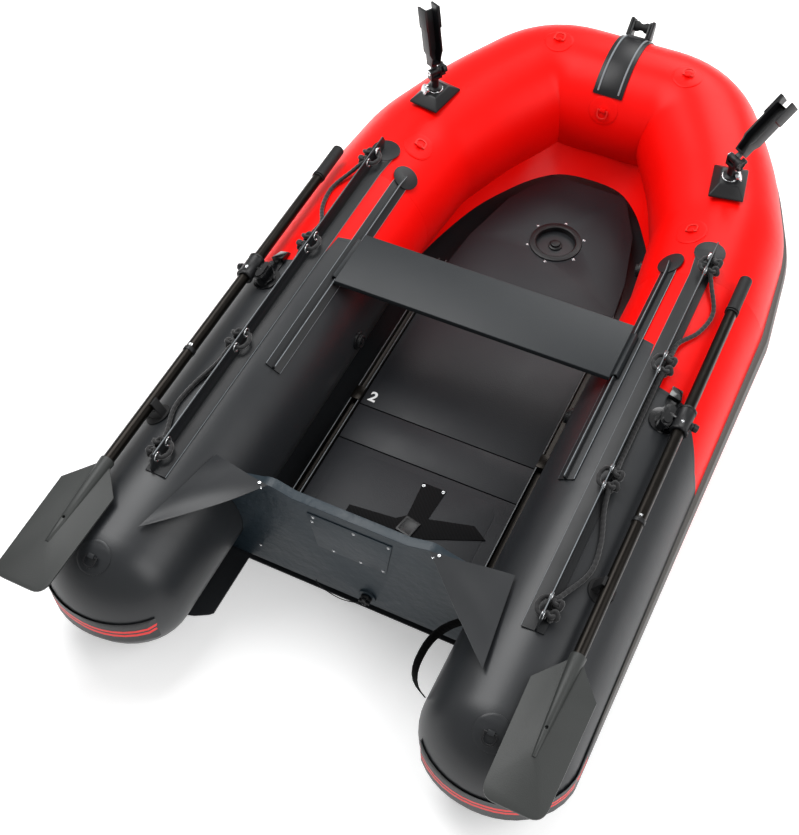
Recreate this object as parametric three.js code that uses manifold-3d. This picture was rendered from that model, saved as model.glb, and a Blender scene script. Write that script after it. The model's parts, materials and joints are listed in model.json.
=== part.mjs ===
// Inflatable dinghy with a rigid floor, seat, oars, grab ropes, rod holders and a bow roller.
// Millimetres, +X starboard, +Y towards the bow, +Z up. The origin is under the middle of the boat,
// on the ground that it rests on.
import * as THREE from 'three';
import { mergeVertices } from 'three/addons/utils/BufferGeometryUtils.js';
import Module from 'manifold-3d';

const wasm = await Module();
wasm.setup();

// Driving dimensions of the hull.
const tubeRadius = 188;
const tubeSpacing = 500;       // from the middle of the boat to a side tube's axis
const tubeHeight = tubeRadius; // the side tubes rest on the ground
const tailDomeStart = -1045;
const tailDomeLength = 155;
const straightEnd = 295;       // where the side tubes meet the bow tube
const tubeSides = 24;
const seamGap = 0.4;           // clearance between glued or touching pieces

// The bow tube's axis on the starboard side: four mitred lengths, rising a little to the front.
const bowAxis = [[500, 295, 188], [470, 585, 195], [380, 805, 207], [190, 1045, 225]];

// Floor, transom and seat.
const floorTop = 60;
const floorThickness = 12;
const floorHalfWidth = 263;
const transomFront = -762;
const transomThickness = 25;
const transomTop = 405;
const seatHalfLength = 389;
const seatRear = -122;
const seatFront = 65;
const seatTop = 374;
const seatThickness = 16;

// Strips on top of the side tubes.
const grabRailAngle = -2;      // degrees outboard of the tube's top
const grabRailRear = -855;
const grabRailFront = 399;
const flangeHeight = 44;
const seatRailAngle = -31.5;
const seatRailRear = -438;
const seatRailFront = 332;
const eyeletPairs = [[345, 295], [-21, -72], [-398, -451], [-775, -824]];
const eyeletHeight = 26;
const ropeRadius = 5.5;

// Oars, stowed along the outside of the grab rails.
const oarX = 602;
const oarZ = 393;
const oarRadius = 15;
const oarPivotY = -190;
const oarlockAngle = 17;
const clipY = -690;
const clipAngle = 27;

// Rod holders on the bow quarters, and the bow roller.
const rodPlace = new THREE.Vector3(450, 645, 391.5);
const rodPadYaw = 10;
const rodPivotHeight = 92;
const bowTubeY = 1045;
const bowTubeZ = 225;

const finishes = {
  redPvc: new THREE.MeshStandardMaterial({ color: 0xf01810, roughness: 0.45 }),
  greyPvc: new THREE.MeshStandardMaterial({ color: 0x3f4347, roughness: 0.55 }),
  rubber: new THREE.MeshStandardMaterial({ color: 0x1b1c1e, roughness: 0.7 }),
  board: new THREE.MeshStandardMaterial({ color: 0x2c2f32, roughness: 0.6 }),
  transomPaint: new THREE.MeshStandardMaterial({ color: 0x2f3a42, roughness: 0.5 }),
  seatPaint: new THREE.MeshStandardMaterial({ color: 0x474b4f, roughness: 0.55 }),
  blackAluminium: new THREE.MeshStandardMaterial({ color: 0x1d1e20, roughness: 0.35, metalness: 0.9 }),
  blackPlastic: new THREE.MeshStandardMaterial({ color: 0x17181a, roughness: 0.5 }),
  greyPlastic: new THREE.MeshStandardMaterial({ color: 0x5a5c58, roughness: 0.5 }),
  webbing: new THREE.MeshStandardMaterial({ color: 0x141416, roughness: 0.85 }),
};

const radians = THREE.MathUtils.degToRad;
const dinghy = new THREE.Group();
dinghy.name = 'inflatable_dinghy';

// ---- small tools for making closed solids ----

function bare(geometry) {
  const copy = geometry.clone();
  for (const name of Object.keys(copy.attributes)) {
    if (name !== 'position') {
      copy.deleteAttribute(name);
    }
  }
  return mergeVertices(copy, 1e-3);
}

function toManifold(geometry) {
  const clean = bare(geometry);
  return new wasm.Manifold(new wasm.Mesh({
    numProp: 3,
    vertProperties: new Float32Array(clean.attributes.position.array),
    triVerts: new Uint32Array(clean.index.array),
  }));
}

function fromManifold(solid) {
  const mesh = solid.getMesh();
  const geometry = new THREE.BufferGeometry();
  geometry.setAttribute('position', new THREE.BufferAttribute(mesh.vertProperties, 3));
  geometry.setIndex(new THREE.BufferAttribute(mesh.triVerts, 1));
  return geometry;
}

function join(...geometries) {
  let solid = toManifold(geometries[0]);
  for (const geometry of geometries.slice(1)) {
    solid = solid.add(toManifold(geometry));
  }
  return fromManifold(solid);
}

function cut(geometry, ...tools) {
  let solid = toManifold(geometry);
  for (const tool of tools) {
    solid = solid.subtract(toManifold(tool));
  }
  return fromManifold(solid);
}

// A skin over a row of rings that all have the same number of points, closed at both ends.
function loft(rings) {
  const count = rings[0].length;
  const points = rings.flat();
  const faces = [];
  for (let i = 0; i + 1 < rings.length; i++) {
    for (let j = 0; j < count; j++) {
      const a = i * count + j;
      const b = i * count + ((j + 1) % count);
      faces.push(a, b, a + count, b, b + count, a + count);
    }
  }
  for (const [start, flip] of [[0, true], [(rings.length - 1) * count, false]]) {
    const middle = new THREE.Vector3();
    for (let j = 0; j < count; j++) {
      middle.addScaledVector(points[start + j], 1 / count);
    }
    points.push(middle);
    for (let j = 0; j < count; j++) {
      const a = start + j;
      const b = start + ((j + 1) % count);
      faces.push(points.length - 1, flip ? b : a, flip ? a : b);
    }
  }
  let volume = 0;
  for (let i = 0; i < faces.length; i += 3) {
    const [a, b, c] = [points[faces[i]], points[faces[i + 1]], points[faces[i + 2]]];
    volume += a.dot(b.clone().cross(c));
  }
  if (volume < 0) {
    faces.reverse();
  }
  const geometry = new THREE.BufferGeometry().setFromPoints(points);
  geometry.setIndex(faces);
  return geometry;
}

function outline(points) {
  return new THREE.Shape(points.map(([x, y]) => new THREE.Vector2(x, y)));
}

function plate(points, thickness, holes = []) {
  const shape = Array.isArray(points) ? outline(points) : points;
  for (const hole of holes) {
    shape.holes.push(hole);
  }
  return new THREE.ExtrudeGeometry(shape, { depth: thickness, bevelEnabled: false, curveSegments: 6 });
}

function block(width, length, height, x = 0, y = 0, z = 0) {
  return new THREE.BoxGeometry(width, length, height).translate(x, y, z);
}

// A round bar about the named axis, centred on the given point.
function bar(radius, length, axis, x = 0, y = 0, z = 0, sides = 16, endRadius = radius) {
  const geometry = new THREE.CylinderGeometry(endRadius, radius, length, sides);
  if (axis === 'x') {
    geometry.rotateZ(-Math.PI / 2);
  } else if (axis === 'z') {
    geometry.rotateX(Math.PI / 2);
  }
  return geometry.translate(x, y, z);
}

// A turned piece about Z from [radius, height] pairs.
function turned(profile, sides = 20) {
  const points = profile.map(([radius, height]) => new THREE.Vector2(radius, height));
  return new THREE.LatheGeometry(points, sides).rotateX(Math.PI / 2);
}

function ringHole(radius, x, y, sides = 20) {
  const path = new THREE.Path();
  for (let i = 0; i <= sides; i++) {
    const angle = (-i / sides) * 2 * Math.PI;
    const px = x + radius * Math.cos(angle);
    const py = y + radius * Math.sin(angle);
    if (i === 0) {
      path.moveTo(px, py);
    } else {
      path.lineTo(px, py);
    }
  }
  return path;
}

function add(name, geometry, finish, parent = dinghy) {
  const mesh = new THREE.Mesh(geometry, finish);
  mesh.name = name;
  parent.add(mesh);
  return mesh;
}

// Where the tube's axis is at a given length along the boat: its X and Z.
function axisAt(y) {
  const [[x0, y0, z0], [x1, y1, z1]] = bowAxis;
  const share = Math.max(0, (y - y0) / (y1 - y0));
  return [x0 + (x1 - x0) * share, z0 + (z1 - z0) * share];
}

// A transform whose Z stands out of a side tube at an angle outboard of its top, and whose Y runs forward.
function onTube(side, y, angle, lift = 0) {
  const [x, z] = axisAt(y);
  const turn = new THREE.Matrix4().makeRotationY(radians(side * angle));
  const out = new THREE.Matrix4().makeTranslation(0, 0, tubeRadius + lift);
  return new THREE.Matrix4().makeTranslation(side * x, y, z).multiply(turn).multiply(out);
}

const sides = { port: -1, starboard: 1 };

// ---- D-rings ----

const ringLift = 6.2;

// Each ring hangs from a webbing lug on a round patch. The frames' Z stands out of the hull and the ring
// lies along their +Y.
function frameAt(x, y, z, tilt, lean = 0) {
  return new THREE.Matrix4().makeTranslation(x, y, z)
    .multiply(new THREE.Matrix4().makeRotationX(radians(tilt)))
    .multiply(new THREE.Matrix4().makeRotationY(radians(lean)));
}
const turnBack = new THREE.Matrix4().makeRotationZ(Math.PI);
const ringPlaces = {
  bow_port: frameAt(-205, 1013, bowTubeZ + tubeRadius - 2, 10),
  bow_starboard: frameAt(205, 1013, bowTubeZ + tubeRadius - 2, 10),
  inner_bow: frameAt(0, bowTubeY - 166.7, bowTubeZ + 89, 62).multiply(turnBack),
  side_port: frameAt(-412, 452, 363.8, 0, 22),
  side_starboard: frameAt(412, 452, 363.8, 0, -22),
  tail_port: frameAt(-500, -1107, 363, 22).multiply(turnBack),
  tail_starboard: frameAt(500, -1107, 363, 22).multiply(turnBack),
};

function patch() {
  const disc = bar(32, 7, 'z', 0, 0, -0.9, 20);
  const lug = plate([[-7, 0], [7, 0], [7, 10], [-7, 10]], 14).rotateX(Math.PI / 2).translate(0, 7, 1);
  const slot = plate([[-5, 0], [5, 0], [5, 7.2], [-5, 7.2]], 40).rotateX(Math.PI / 2).rotateZ(Math.PI / 2);
  return cut(join(disc, lug), slot.translate(-20, 0, ringLift - 3.6));
}

function dRing() {
  const outer = new THREE.Shape();
  outer.moveTo(-17, -2.5);
  outer.lineTo(17, -2.5);
  outer.lineTo(17, 12);
  outer.quadraticCurveTo(16, 27, 0, 27);
  outer.quadraticCurveTo(-16, 27, -17, 12);
  const inner = new THREE.Path();
  inner.moveTo(-12.5, 2.2);
  inner.lineTo(-12.5, 12);
  inner.quadraticCurveTo(-12, 22.5, 0, 22.5);
  inner.quadraticCurveTo(12, 22.5, 12.5, 12);
  inner.lineTo(12.5, 2.2);
  outer.holes.push(inner);
  return new THREE.ExtrudeGeometry(outer, { depth: 4, bevelEnabled: false, curveSegments: 4 })
    .translate(0, 0, ringLift - 2);
}

// ---- the inflated hull ----

function circleRing(x, y, z, across, up, heading) {
  const ring = [];
  for (let i = 0; i < tubeSides; i++) {
    const angle = ((i + 0.5) / tubeSides) * 2 * Math.PI;
    const reach = across * Math.cos(angle);
    ring.push(new THREE.Vector3(x + reach * heading.x, y + reach * heading.y, z + up * Math.sin(angle)));
  }
  return ring;
}

const domeSteps = [0.15, 0.3, 0.5, 0.68, 0.82, 0.92, 0.98];

function sideTube(side) {
  const square = new THREE.Vector2(1, 0);
  const rings = [];
  for (const share of [...domeSteps].reverse()) {
    const scale = Math.sqrt(1 - share * share);
    rings.push(circleRing(side * tubeSpacing, tailDomeStart - tailDomeLength * share, tubeHeight,
      tubeRadius * scale, tubeRadius * scale, square));
  }
  for (const y of [tailDomeStart, straightEnd - seamGap]) {
    rings.push(circleRing(side * tubeSpacing, y, tubeHeight, tubeRadius, tubeRadius, square));
  }
  return loft(rings);
}

// Stations of a mitred path: where each ring stands, which way it faces and how much wider it is.
function mitreStations(path) {
  return path.map(([x, y, z], i) => {
    const before = path[Math.max(i - 1, 0)];
    const after = path[Math.min(i + 1, path.length - 1)];
    const arrive = new THREE.Vector2(x - before[0], y - before[1]);
    const leave = new THREE.Vector2(after[0] - x, after[1] - y);
    if (i === 0) {
      arrive.copy(leave);
    } else if (i === path.length - 1) {
      leave.copy(arrive);
    }
    arrive.normalize();
    leave.normalize();
    const along = arrive.clone().add(leave).normalize();
    return { x, y, z, heading: new THREE.Vector2(along.y, -along.x), stretch: 1 / along.dot(leave) };
  });
}

const bowPath = [
  ...bowAxis,
  ...[...bowAxis].reverse().map(([x, y, z]) => [-x, y, z]),
];

function bowTube() {
  const stations = mitreStations(bowPath);
  stations[0].heading.set(1, 0);
  stations[0].stretch = 1;
  stations.at(-1).heading.set(-1, 0);
  stations.at(-1).stretch = 1;
  return loft(stations.map(({ x, y, z, stretch, heading }) => (
    circleRing(x, y, z, tubeRadius * stretch, tubeRadius, heading))));
}

// The rubbing strake's section: height beside the tube's axis, and how far it stands off the tube.
const strakeSection = [
  [-42, 1.8], [-30, 13], [-12, 17], [12, 17], [30, 13], [42, 1.8], [21, 1.8], [0, 1.8], [-21, 1.8],
];

function strake() {
  const stations = [];
  const tailTurns = Array.from({ length: 13 }, (_, i) => 30 + 12 * i);
  const tailStation = (side, turn) => {
    const direction = new THREE.Vector2(side * Math.sin(radians(turn - 90)), -Math.cos(radians(turn - 90)));
    const reach = 1 / Math.hypot(direction.x / tubeRadius, direction.y / tailDomeLength);
    return { x: side * tubeSpacing, y: tailDomeStart, z: tubeHeight, heading: direction, reach };
  };
  for (const turn of tailTurns) {
    stations.push(tailStation(1, turn));
  }
  const start = [tubeSpacing, tailDomeStart, tubeHeight];
  const end = [-tubeSpacing, tailDomeStart, tubeHeight];
  for (const s of mitreStations([start, ...bowPath, end])) {
    stations.push({ ...s, reach: tubeRadius * s.stretch, spread: s.stretch });
  }
  for (const turn of [...tailTurns].reverse()) {
    stations.push(tailStation(-1, turn));
  }
  return loft(stations.map((s) => strakeSection.map(([height, off]) => {
    const reach = s.reach * Math.sqrt(1 - (height / tubeRadius) ** 2) + off * (s.spread ?? 1);
    return new THREE.Vector3(s.x + reach * s.heading.x, s.y + reach * s.heading.y, s.z + height);
  })));
}

function bottomSkin() {
  const half = [[436, 285], [405, 560], [330, 745], [175, 940]];
  const flap = new THREE.Shape();
  flap.moveTo(...half[0]);
  for (const [x, y] of half.slice(1)) {
    flap.lineTo(x, y);
  }
  for (const [x, y] of [...half].reverse()) {
    flap.lineTo(-x, y);
  }
  flap.lineTo(-436, -1010);
  flap.quadraticCurveTo(-300, -1010, -262, -880);
  flap.quadraticCurveTo(-250, -795, -230, -795);
  flap.lineTo(230, -795);
  flap.quadraticCurveTo(250, -795, 262, -880);
  flap.quadraticCurveTo(300, -1010, 436, -1010);
  return plate(flap, 4).translate(0, 0, 3);
}

// Inflation valves: one on each side tube's inner face, and one low on the bow tube's starboard inside.
// They are welded into the tubes, as the D-rings' patches are, so each tube carries its own.
function valve() {
  return turned([[0, -4], [25, -4], [25, 4], [18, 7], [16, 14], [0, 14]], 16);
}

for (const [name, side] of Object.entries(sides)) {
  const sideValve = valve().applyMatrix4(onTube(side, -150, -88));
  const tailPatch = patch().applyMatrix4(ringPlaces[`tail_${name}`]);
  add(`tube_${name}`, join(sideTube(side), sideValve, tailPatch), finishes.greyPvc);
}
const bowFittings = ['bow_port', 'bow_starboard', 'inner_bow', 'side_port', 'side_starboard']
  .map((name) => patch().applyMatrix4(ringPlaces[name]));
const bowValve = valve().rotateY(radians(-95)).rotateZ(radians(10)).translate(297, 430, 180);
add('tube_bow', join(bowTube(), bowValve, ...bowFittings), finishes.redPvc);
add('rub_strake', strake(), finishes.rubber);
add('bottom_skin', bottomSkin(), finishes.greyPvc);

function keelTube() {
  const shape = new THREE.Shape();
  shape.absarc(-80, 27, 18.5, Math.PI / 2, (3 * Math.PI) / 2, false);
  shape.absarc(80, 27, 18.5, -Math.PI / 2, Math.PI / 2, false);
  return plate(shape, 1560).rotateX(Math.PI / 2).translate(0, 820, 0);
}
add('keel_tube', keelTube(), finishes.greyPvc);

// ---- floor ----

const cupY = 545;
const cupBore = 60;

function board(points, holes = []) {
  return plate(points, floorThickness, holes).translate(0, 0, floorTop - floorThickness);
}

const seams = [-750, -376, -252, 145];
const w = floorHalfWidth;
const bowBoard = [[-w, 146.5], [w, 146.5], [w, 345], [250, 470], [205, 660],
  [125, 815], [-125, 815], [-205, 660], [-250, 470], [-w, 345]];
add('floor_board_bow', board(bowBoard, [ringHole(cupBore + 5.2, 0, cupY, 24)]), finishes.board);
['rear', 'narrow', 'front'].forEach((name, i) => {
  const [from, to] = [seams[i] + 1.5, seams[i + 1] - 1.5];
  add(`floor_board_${name}`, board([[-w, from], [w, from], [w, to], [-w, to]]), finishes.board);
});

// A black aluminium channel along each side, in two lengths pushed into a joining block.
const stringerWidth = 26;
const stringerX = floorHalfWidth + 1 + stringerWidth / 2;
const joinerY = -230;
const joinerHalf = 22;

function stringerPiece(side, from, to) {
  const length = to - from;
  const profile = [[-13, 0], [13, 0], [13, 26], [9, 26], [9, 5], [-9, 5], [-9, 26], [-13, 26]];
  return plate(profile, length).rotateX(Math.PI / 2).translate(side * stringerX, to, 46);
}
for (const [name, side] of Object.entries(sides)) {
  const joiner = block(27, 2 * joinerHalf, 30, side * (stringerX + 0.4), joinerY, 61);
  const lengths = [stringerPiece(side, -745, joinerY), stringerPiece(side, joinerY, 330)];
  add(`floor_stringer_${name}`, join(joiner, ...lengths), finishes.blackAluminium);
}

const cupProfile = [[cupBore, 47.5], [cupBore + 4, 47.5], [cupBore + 4, floorTop + 0.4],
  [80, floorTop + 0.4], [79, 63.5], [63, 65], [cupBore, 63], [cupBore, 47.5]];
add('access_cup', turned(cupProfile, 24).translate(0, cupY, 0), finishes.blackPlastic);
const keelCap = [[0, 46.2], [21, 46.2], [21, 50], [15, 51], [14, 58], [0, 58]];
add('keel_valve_cap', turned(keelCap, 16).translate(0, cupY, 0), finishes.blackPlastic);

// ---- transom ----

const drainX = 35;
const drainZ = 74;

function transomBoard() {
  const shape = new THREE.Shape();
  const reach = tubeRadius + 1.5;
  const low = Math.asin((tubeHeight - 30) / reach);
  const high = Math.asin((345 - tubeHeight) / reach);
  shape.moveTo(-(tubeSpacing - reach * Math.cos(low)), 30);
  shape.lineTo(tubeSpacing - reach * Math.cos(low), 30);
  const arcPoints = 10;
  for (let i = 1; i <= arcPoints; i++) {
    const angle = -low + ((low + high) * i) / arcPoints;
    shape.lineTo(tubeSpacing - reach * Math.cos(angle), tubeHeight + reach * Math.sin(angle));
  }
  shape.lineTo(235, transomTop - 6);
  shape.quadraticCurveTo(222, transomTop + 6, 200, transomTop + 4);
  shape.lineTo(150, transomTop - 12);
  shape.lineTo(-150, transomTop - 12);
  shape.lineTo(-200, transomTop + 4);
  shape.quadraticCurveTo(-222, transomTop + 6, -235, transomTop - 6);
  for (let i = arcPoints; i >= 1; i--) {
    const angle = -low + ((low + high) * i) / arcPoints;
    shape.lineTo(-(tubeSpacing - reach * Math.cos(angle)), tubeHeight + reach * Math.sin(angle));
  }
  const drain = ringHole(13.5, drainX, drainZ);
  return plate(shape, transomThickness, [drain]).rotateX(Math.PI / 2).translate(0, transomFront, 0);
}
function motorPlate(y) {
  const corners = [[-112, 362], [112, 362], [92, 225], [-92, 225]];
  return plate(corners, 3).rotateX(Math.PI / 2).translate(0, y, 0);
}
const plateRear = transomFront - transomThickness - seamGap;
add('motor_plate', motorPlate(plateRear), finishes.board);

// The drain's flanged bush is bonded into the board.
const drainBody = [[9, -2], [24, -2], [24, 6], [14, 6], [14, 28], [9, 28], [9, -2]];
const drainAt = [drainX, transomFront - transomThickness - 4.6, drainZ];
const drainBush = turned(drainBody, 16).rotateX(-Math.PI / 2).translate(...drainAt);
add('transom_board', join(transomBoard(), drainBush), finishes.transomPaint);
const drainPlug = [[0, -13], [13, -13], [15, -9], [15, -2.6], [8.6, -2.6], [8.6, 12], [0, 12]];
add('drain_plug', turned(drainPlug, 16).rotateX(-Math.PI / 2).translate(...drainAt), finishes.blackPlastic);

// A closed round cord through hand-placed points, with a step at each share of the way.
class CordPath extends THREE.CatmullRomCurve3 {
  getPointAt(t, target) {
    return this.getPoint(t, target);
  }

  getTangentAt(t, target) {
    return this.getTangent(t, target);
  }
}

function cord(points, radius, steps) {
  const path = new CordPath(points.map((p) => new THREE.Vector3(...p)), false, 'centripetal');
  const section = new THREE.Shape();
  for (let i = 0; i < 8; i++) {
    const angle = (i / 8) * 2 * Math.PI;
    const px = radius * Math.cos(angle);
    const py = radius * Math.sin(angle);
    if (i === 0) {
      section.moveTo(px, py);
    } else {
      section.lineTo(px, py);
    }
  }
  return new THREE.ExtrudeGeometry(section, { steps, extrudePath: path, bevelEnabled: false });
}

// The drain plug's leash: from the rivet in the transom's lower edge to the plug.
const leashRoute = [[-110, -794, 55], [-104, -798, 49], [-88, -802, 42], [-62, -806, 37], [-34, -808, 36],
  [-8, -807, 40], [12, -806, 49], [20.5, -806, 56]];
add('drain_cord', cord(leashRoute, 1.2, 24), finishes.webbing);

// Fabric gussets from the transom's top corners out to the tubes.
function gusset(side) {
  const corners = [[side * 393, -733, 350], [side * 208, -792, 413], [side * 440, -1000, 374]];
  const [a, b, c] = corners.map((p) => new THREE.Vector3(...p));
  const across = b.clone().sub(a).cross(c.clone().sub(a)).normalize();
  if (across.z < 0) {
    across.negate();
  }
  const edge = [a, b];
  const aim = new THREE.Vector3(side * 300, -872, 374);
  const curve = new THREE.QuadraticBezierCurve3(b, aim, c);
  edge.push(...curve.getPoints(6).slice(1));
  const top = edge.map((p) => p.clone().addScaledVector(across, 6));
  const low = edge.map((p) => p.clone().addScaledVector(across, 3));
  return loft([low, top]);
}
for (const [name, side] of Object.entries(sides)) {
  add(`transom_gusset_${name}`, gusset(side), finishes.greyPvc);
}

// ---- seat and strips ----

const seatMiddle = (seatRear + seatFront) / 2;

// Each seat rail is a flat strip glued to the tube, with an upstanding rib that the seat's hooks ride on.
function stripOnTube(side, from, to, angle, [inner, outer], thickness, height = seamGap) {
  const top = height + thickness;
  const corners = [[-inner, height], [outer, height], [outer, top], [-inner, top]]
    .map(([across, up]) => [side * across, up]);
  const stations = to > straightEnd ? [from, straightEnd, to] : [from, to];
  return loft(stations.map((y) => {
    const frame = onTube(side, y, angle);
    return corners.map(([across, up]) => new THREE.Vector3(across, 0, up).applyMatrix4(frame));
  }));
}

function seatRail(side) {
  const rib = stripOnTube(side, seatRailRear, seatRailFront, seatRailAngle, [3.5, 3.5], 11, 2.5);
  const pad = bar(38, 2.5, 'z', 0, 0, 3, 20).applyMatrix4(onTube(side, seatRailFront, seatRailAngle));
  const strip = stripOnTube(side, seatRailRear, seatRailFront, seatRailAngle, [22, 22], 3);
  return join(strip, rib, pad);
}
for (const [name, side] of Object.entries(sides)) {
  add(`seat_rail_${name}`, seatRail(side), finishes.rubber);
}

function seatHook(side) {
  const tilt = radians(side * seatRailAngle);
  const arms = [];
  for (const offset of [-8.2, 8.2]) {
    arms.push(block(6, 150, 14, offset, seatMiddle, tubeRadius + 12));
  }
  arms.push(block(22.4, 150, 4, 0, seatMiddle, tubeRadius + 17.5));
  const hook = join(...arms).rotateY(tilt).translate(side * tubeSpacing, 0, tubeHeight);
  const lid = block(400, 400, 60, side * 380, seatMiddle, seatTop - 1 + 30);
  return cut(hook, lid);
}
const seatPlank = block(2 * seatHalfLength, seatFront - seatRear, seatThickness, 0, seatMiddle,
  seatTop - seatThickness / 2);
add('seat_board', join(seatPlank, seatHook(-1), seatHook(1)), finishes.seatPaint);

// Grab rails: a wide strip with a flange that leans a little outboard, pierced for the rope.
const flangeLean = 8;
const flangeThickness = 4.5;
const flangeRoot = 3.2;
const eyeletBore = 9.4;

function flangeFrame(side, y) {
  const lean = new THREE.Matrix4().makeRotationY(radians(side * flangeLean));
  return onTube(side, y, grabRailAngle).multiply(lean);
}

function grabRail(side) {
  const profile = [
    [grabRailRear, flangeRoot], [grabRailFront - 12, flangeRoot], [grabRailFront, flangeHeight - 14],
    [grabRailFront - 6, flangeHeight], [grabRailRear + 22, flangeHeight], [grabRailRear, 16],
  ];
  const upright = plate(profile, flangeThickness).rotateY(Math.PI / 2).rotateX(Math.PI / 2)
    .translate(-flangeThickness / 2, 0, 0);
  const holes = eyeletPairs.flat().map((y) => bar(eyeletBore, 20, 'x', 0, y, eyeletHeight, 12));
  const flange = cut(upright, ...holes).applyMatrix4(flangeFrame(side, 0));
  const strip = stripOnTube(side, grabRailRear, grabRailFront - 20, grabRailAngle, [34, 20], 3);
  const padPlace = onTube(side, grabRailFront - 16, grabRailAngle);
  const pad = bar(42, 2.5, 'z', 0, 0, 2.6, 20).applyMatrix4(padPlace);
  return join(flange, strip, pad);
}
for (const [name, side] of Object.entries(sides)) {
  add(`grab_rail_${name}`, grabRail(side), finishes.rubber);
}

// The grab rope is laced through the eyelets: in through a pair's first, round behind the flange and out
// through its second, then in a slack loop along the outboard side to the next pair. Starboard, hand laid.
const eyeX = 496;
const eyeZ = 401.8;
const ropeLoops = [
  [[529, 256, 389], [557, 188, 374.5], [545, 108, 378], [511, 38, 391]],
  [[506, -110, 394], [506, -190, 389], [506, -280, 389], [507, -360, 395]],
  [[518, -500, 389], [544, -590, 378.5], [549, -665, 378], [522, -740, 389]],
];

function ropeRoute(side) {
  const points = [];
  eyeletPairs.forEach(([first, second], i) => {
    const middle = (first + second) / 2;
    points.push([eyeX + 11, first + 1, eyeZ], [eyeX, first, eyeZ], [eyeX - 13, first - 4, eyeZ]);
    points.push([eyeX - 21, middle, eyeZ]);
    points.push([eyeX - 13, second + 4, eyeZ], [eyeX, second, eyeZ], [eyeX + 11, second - 1, eyeZ]);
    points.push(...(ropeLoops[i] ?? []));
  });
  return points.map(([x, y, z]) => [side * x, y, z]);
}

for (const [name, side] of Object.entries(sides)) {
  const route = ropeRoute(side);
  add(`grab_rope_${name}`, cord(route, ropeRadius, 2 * (route.length - 1)), finishes.webbing);
}

// ---- oars and oarlocks ----

// A tube-fixed frame for the oarlock, and where the stowed oar passes through it.
const oarlockTurn = radians(oarlockAngle);
const oarOut = oarX - tubeSpacing;
const oarUp = oarZ - tubeHeight;
const oarU = oarOut * Math.cos(oarlockTurn) - oarUp * Math.sin(oarlockTurn);
const oarN = oarOut * Math.sin(oarlockTurn) + oarUp * Math.cos(oarlockTurn);

function inTubeFrame(geometry, side, y, angle) {
  return geometry.applyMatrix4(new THREE.Matrix4().makeTranslation(side * tubeSpacing, y, tubeHeight)
    .multiply(new THREE.Matrix4().makeRotationY(radians(side * angle))));
}

function oarlockBase(side) {
  const pad = bar(38, 3, 'z', 0, 0, tubeRadius + 1.5 + seamGap, 20);
  const wedge = plate([[-17, 66], [17, 66], [13, 104], [-13, 104]], 21).translate(0, 0, tubeRadius + 0.8);
  const slope = block(60, 90, 30, 0, 0, 15).rotateX(radians(-16)).translate(0, 66, tubeRadius + 20);
  const foot = plate([[-14, 30], [14, 30], [14, 108], [-14, 108]], 2.6).translate(0, 0, tubeRadius + 0.8);
  return inTubeFrame(join(pad, foot, cut(wedge, slope)), side, oarPivotY, oarlockAngle);
}

function oarlockSwivel(side) {
  const rise = tubeRadius + 4.4;
  const stadium = new THREE.Shape();
  stadium.absarc(0, -18, 15, Math.PI, 2 * Math.PI, false);
  stadium.absarc(0, 18, 15, 0, Math.PI, false);
  const lobe = plate(stadium, 30).translate(0, 0, rise);
  const crown = plate(stadium, 7).scale(0.72, 0.84, 1).translate(0, 0, rise + 29.5);
  const disc = bar(24, 6, 'z', 0, 0, rise + 3, 16);
  const pinLength = oarU - oarRadius - 2;
  const pin = bar(5, pinLength, 'x', side * pinLength / 2, 0, oarN, 10);
  return inTubeFrame(join(lobe, crown, disc, pin), side, oarPivotY, oarlockAngle);
}

function oarCollar(side) {
  const sleeve = plate(ringShape(22, oarRadius + 0.5), 74).rotateX(Math.PI / 2).translate(0, 37, 0);
  const outer = bar(9.5, 6.4, 'x', 23.4, 0, 0, 12);
  const bands = [-30, 36].map((y) => plate(ringShape(23.5, 21), 6).rotateX(Math.PI / 2).translate(0, y, 0));
  const bores = [bar(5.3, 11, 'x', -22.2, 0, 0, 12), bar(4.3, 11, 'x', 22.2, 0, 0, 12)];
  const collar = cut(join(sleeve, outer, ...bands), ...bores);
  return inOarFrame(collar, side);
}

function ringShape(outer, inner) {
  const shape = new THREE.Shape();
  shape.absarc(0, 0, outer, 0, 2 * Math.PI, false);
  shape.holes.push(ringHole(inner, 0, 0, 16));
  return shape;
}

// The oar's frame stands at the pin's height on the shaft's axis, its X along the pin, outboard positive.
function inOarFrame(geometry, side) {
  const placed = geometry.clone();
  if (side < 0) {
    placed.rotateZ(Math.PI);
  }
  const place = new THREE.Vector3(side * oarU, 0, oarN);
  return inTubeFrame(placed.translate(place.x, place.y, place.z), side, oarPivotY, oarlockAngle);
}

function oarKnob(side) {
  const head = bar(11, 13, 'x', 33.8, 0, 0, 12, 9.5);
  const stub = bar(3.9, 14, 'x', 24.3, 0, 0, 10);
  return inOarFrame(join(head, stub), side);
}

const oarEnds = { gripEnd: 320, gripRoot: 195, neck: -879, shoulder: -965, tip: -1250 };

function shaft(side) {
  const length = oarEnds.gripEnd - 10 - (oarEnds.neck - 55);
  const tube = plate(ringShape(oarRadius, 13.4), length).rotateX(Math.PI / 2);
  return tube.translate(side * oarX, oarEnds.gripEnd - 10, oarZ);
}

function grip(side) {
  const from = oarEnds.gripRoot;
  const to = oarEnds.gripEnd;
  const profile = [[15.4, from], [18.5, from], [18.5, from + 5], [17, from + 8], [17, to - 4],
    [13, to], [0, to], [0, to - 8], [15.4, to - 8], [15.4, from]];
  const points = profile.map(([radius, y]) => new THREE.Vector2(radius, y));
  return new THREE.LatheGeometry(points, 16).translate(side * oarX, 0, oarZ);
}

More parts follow.
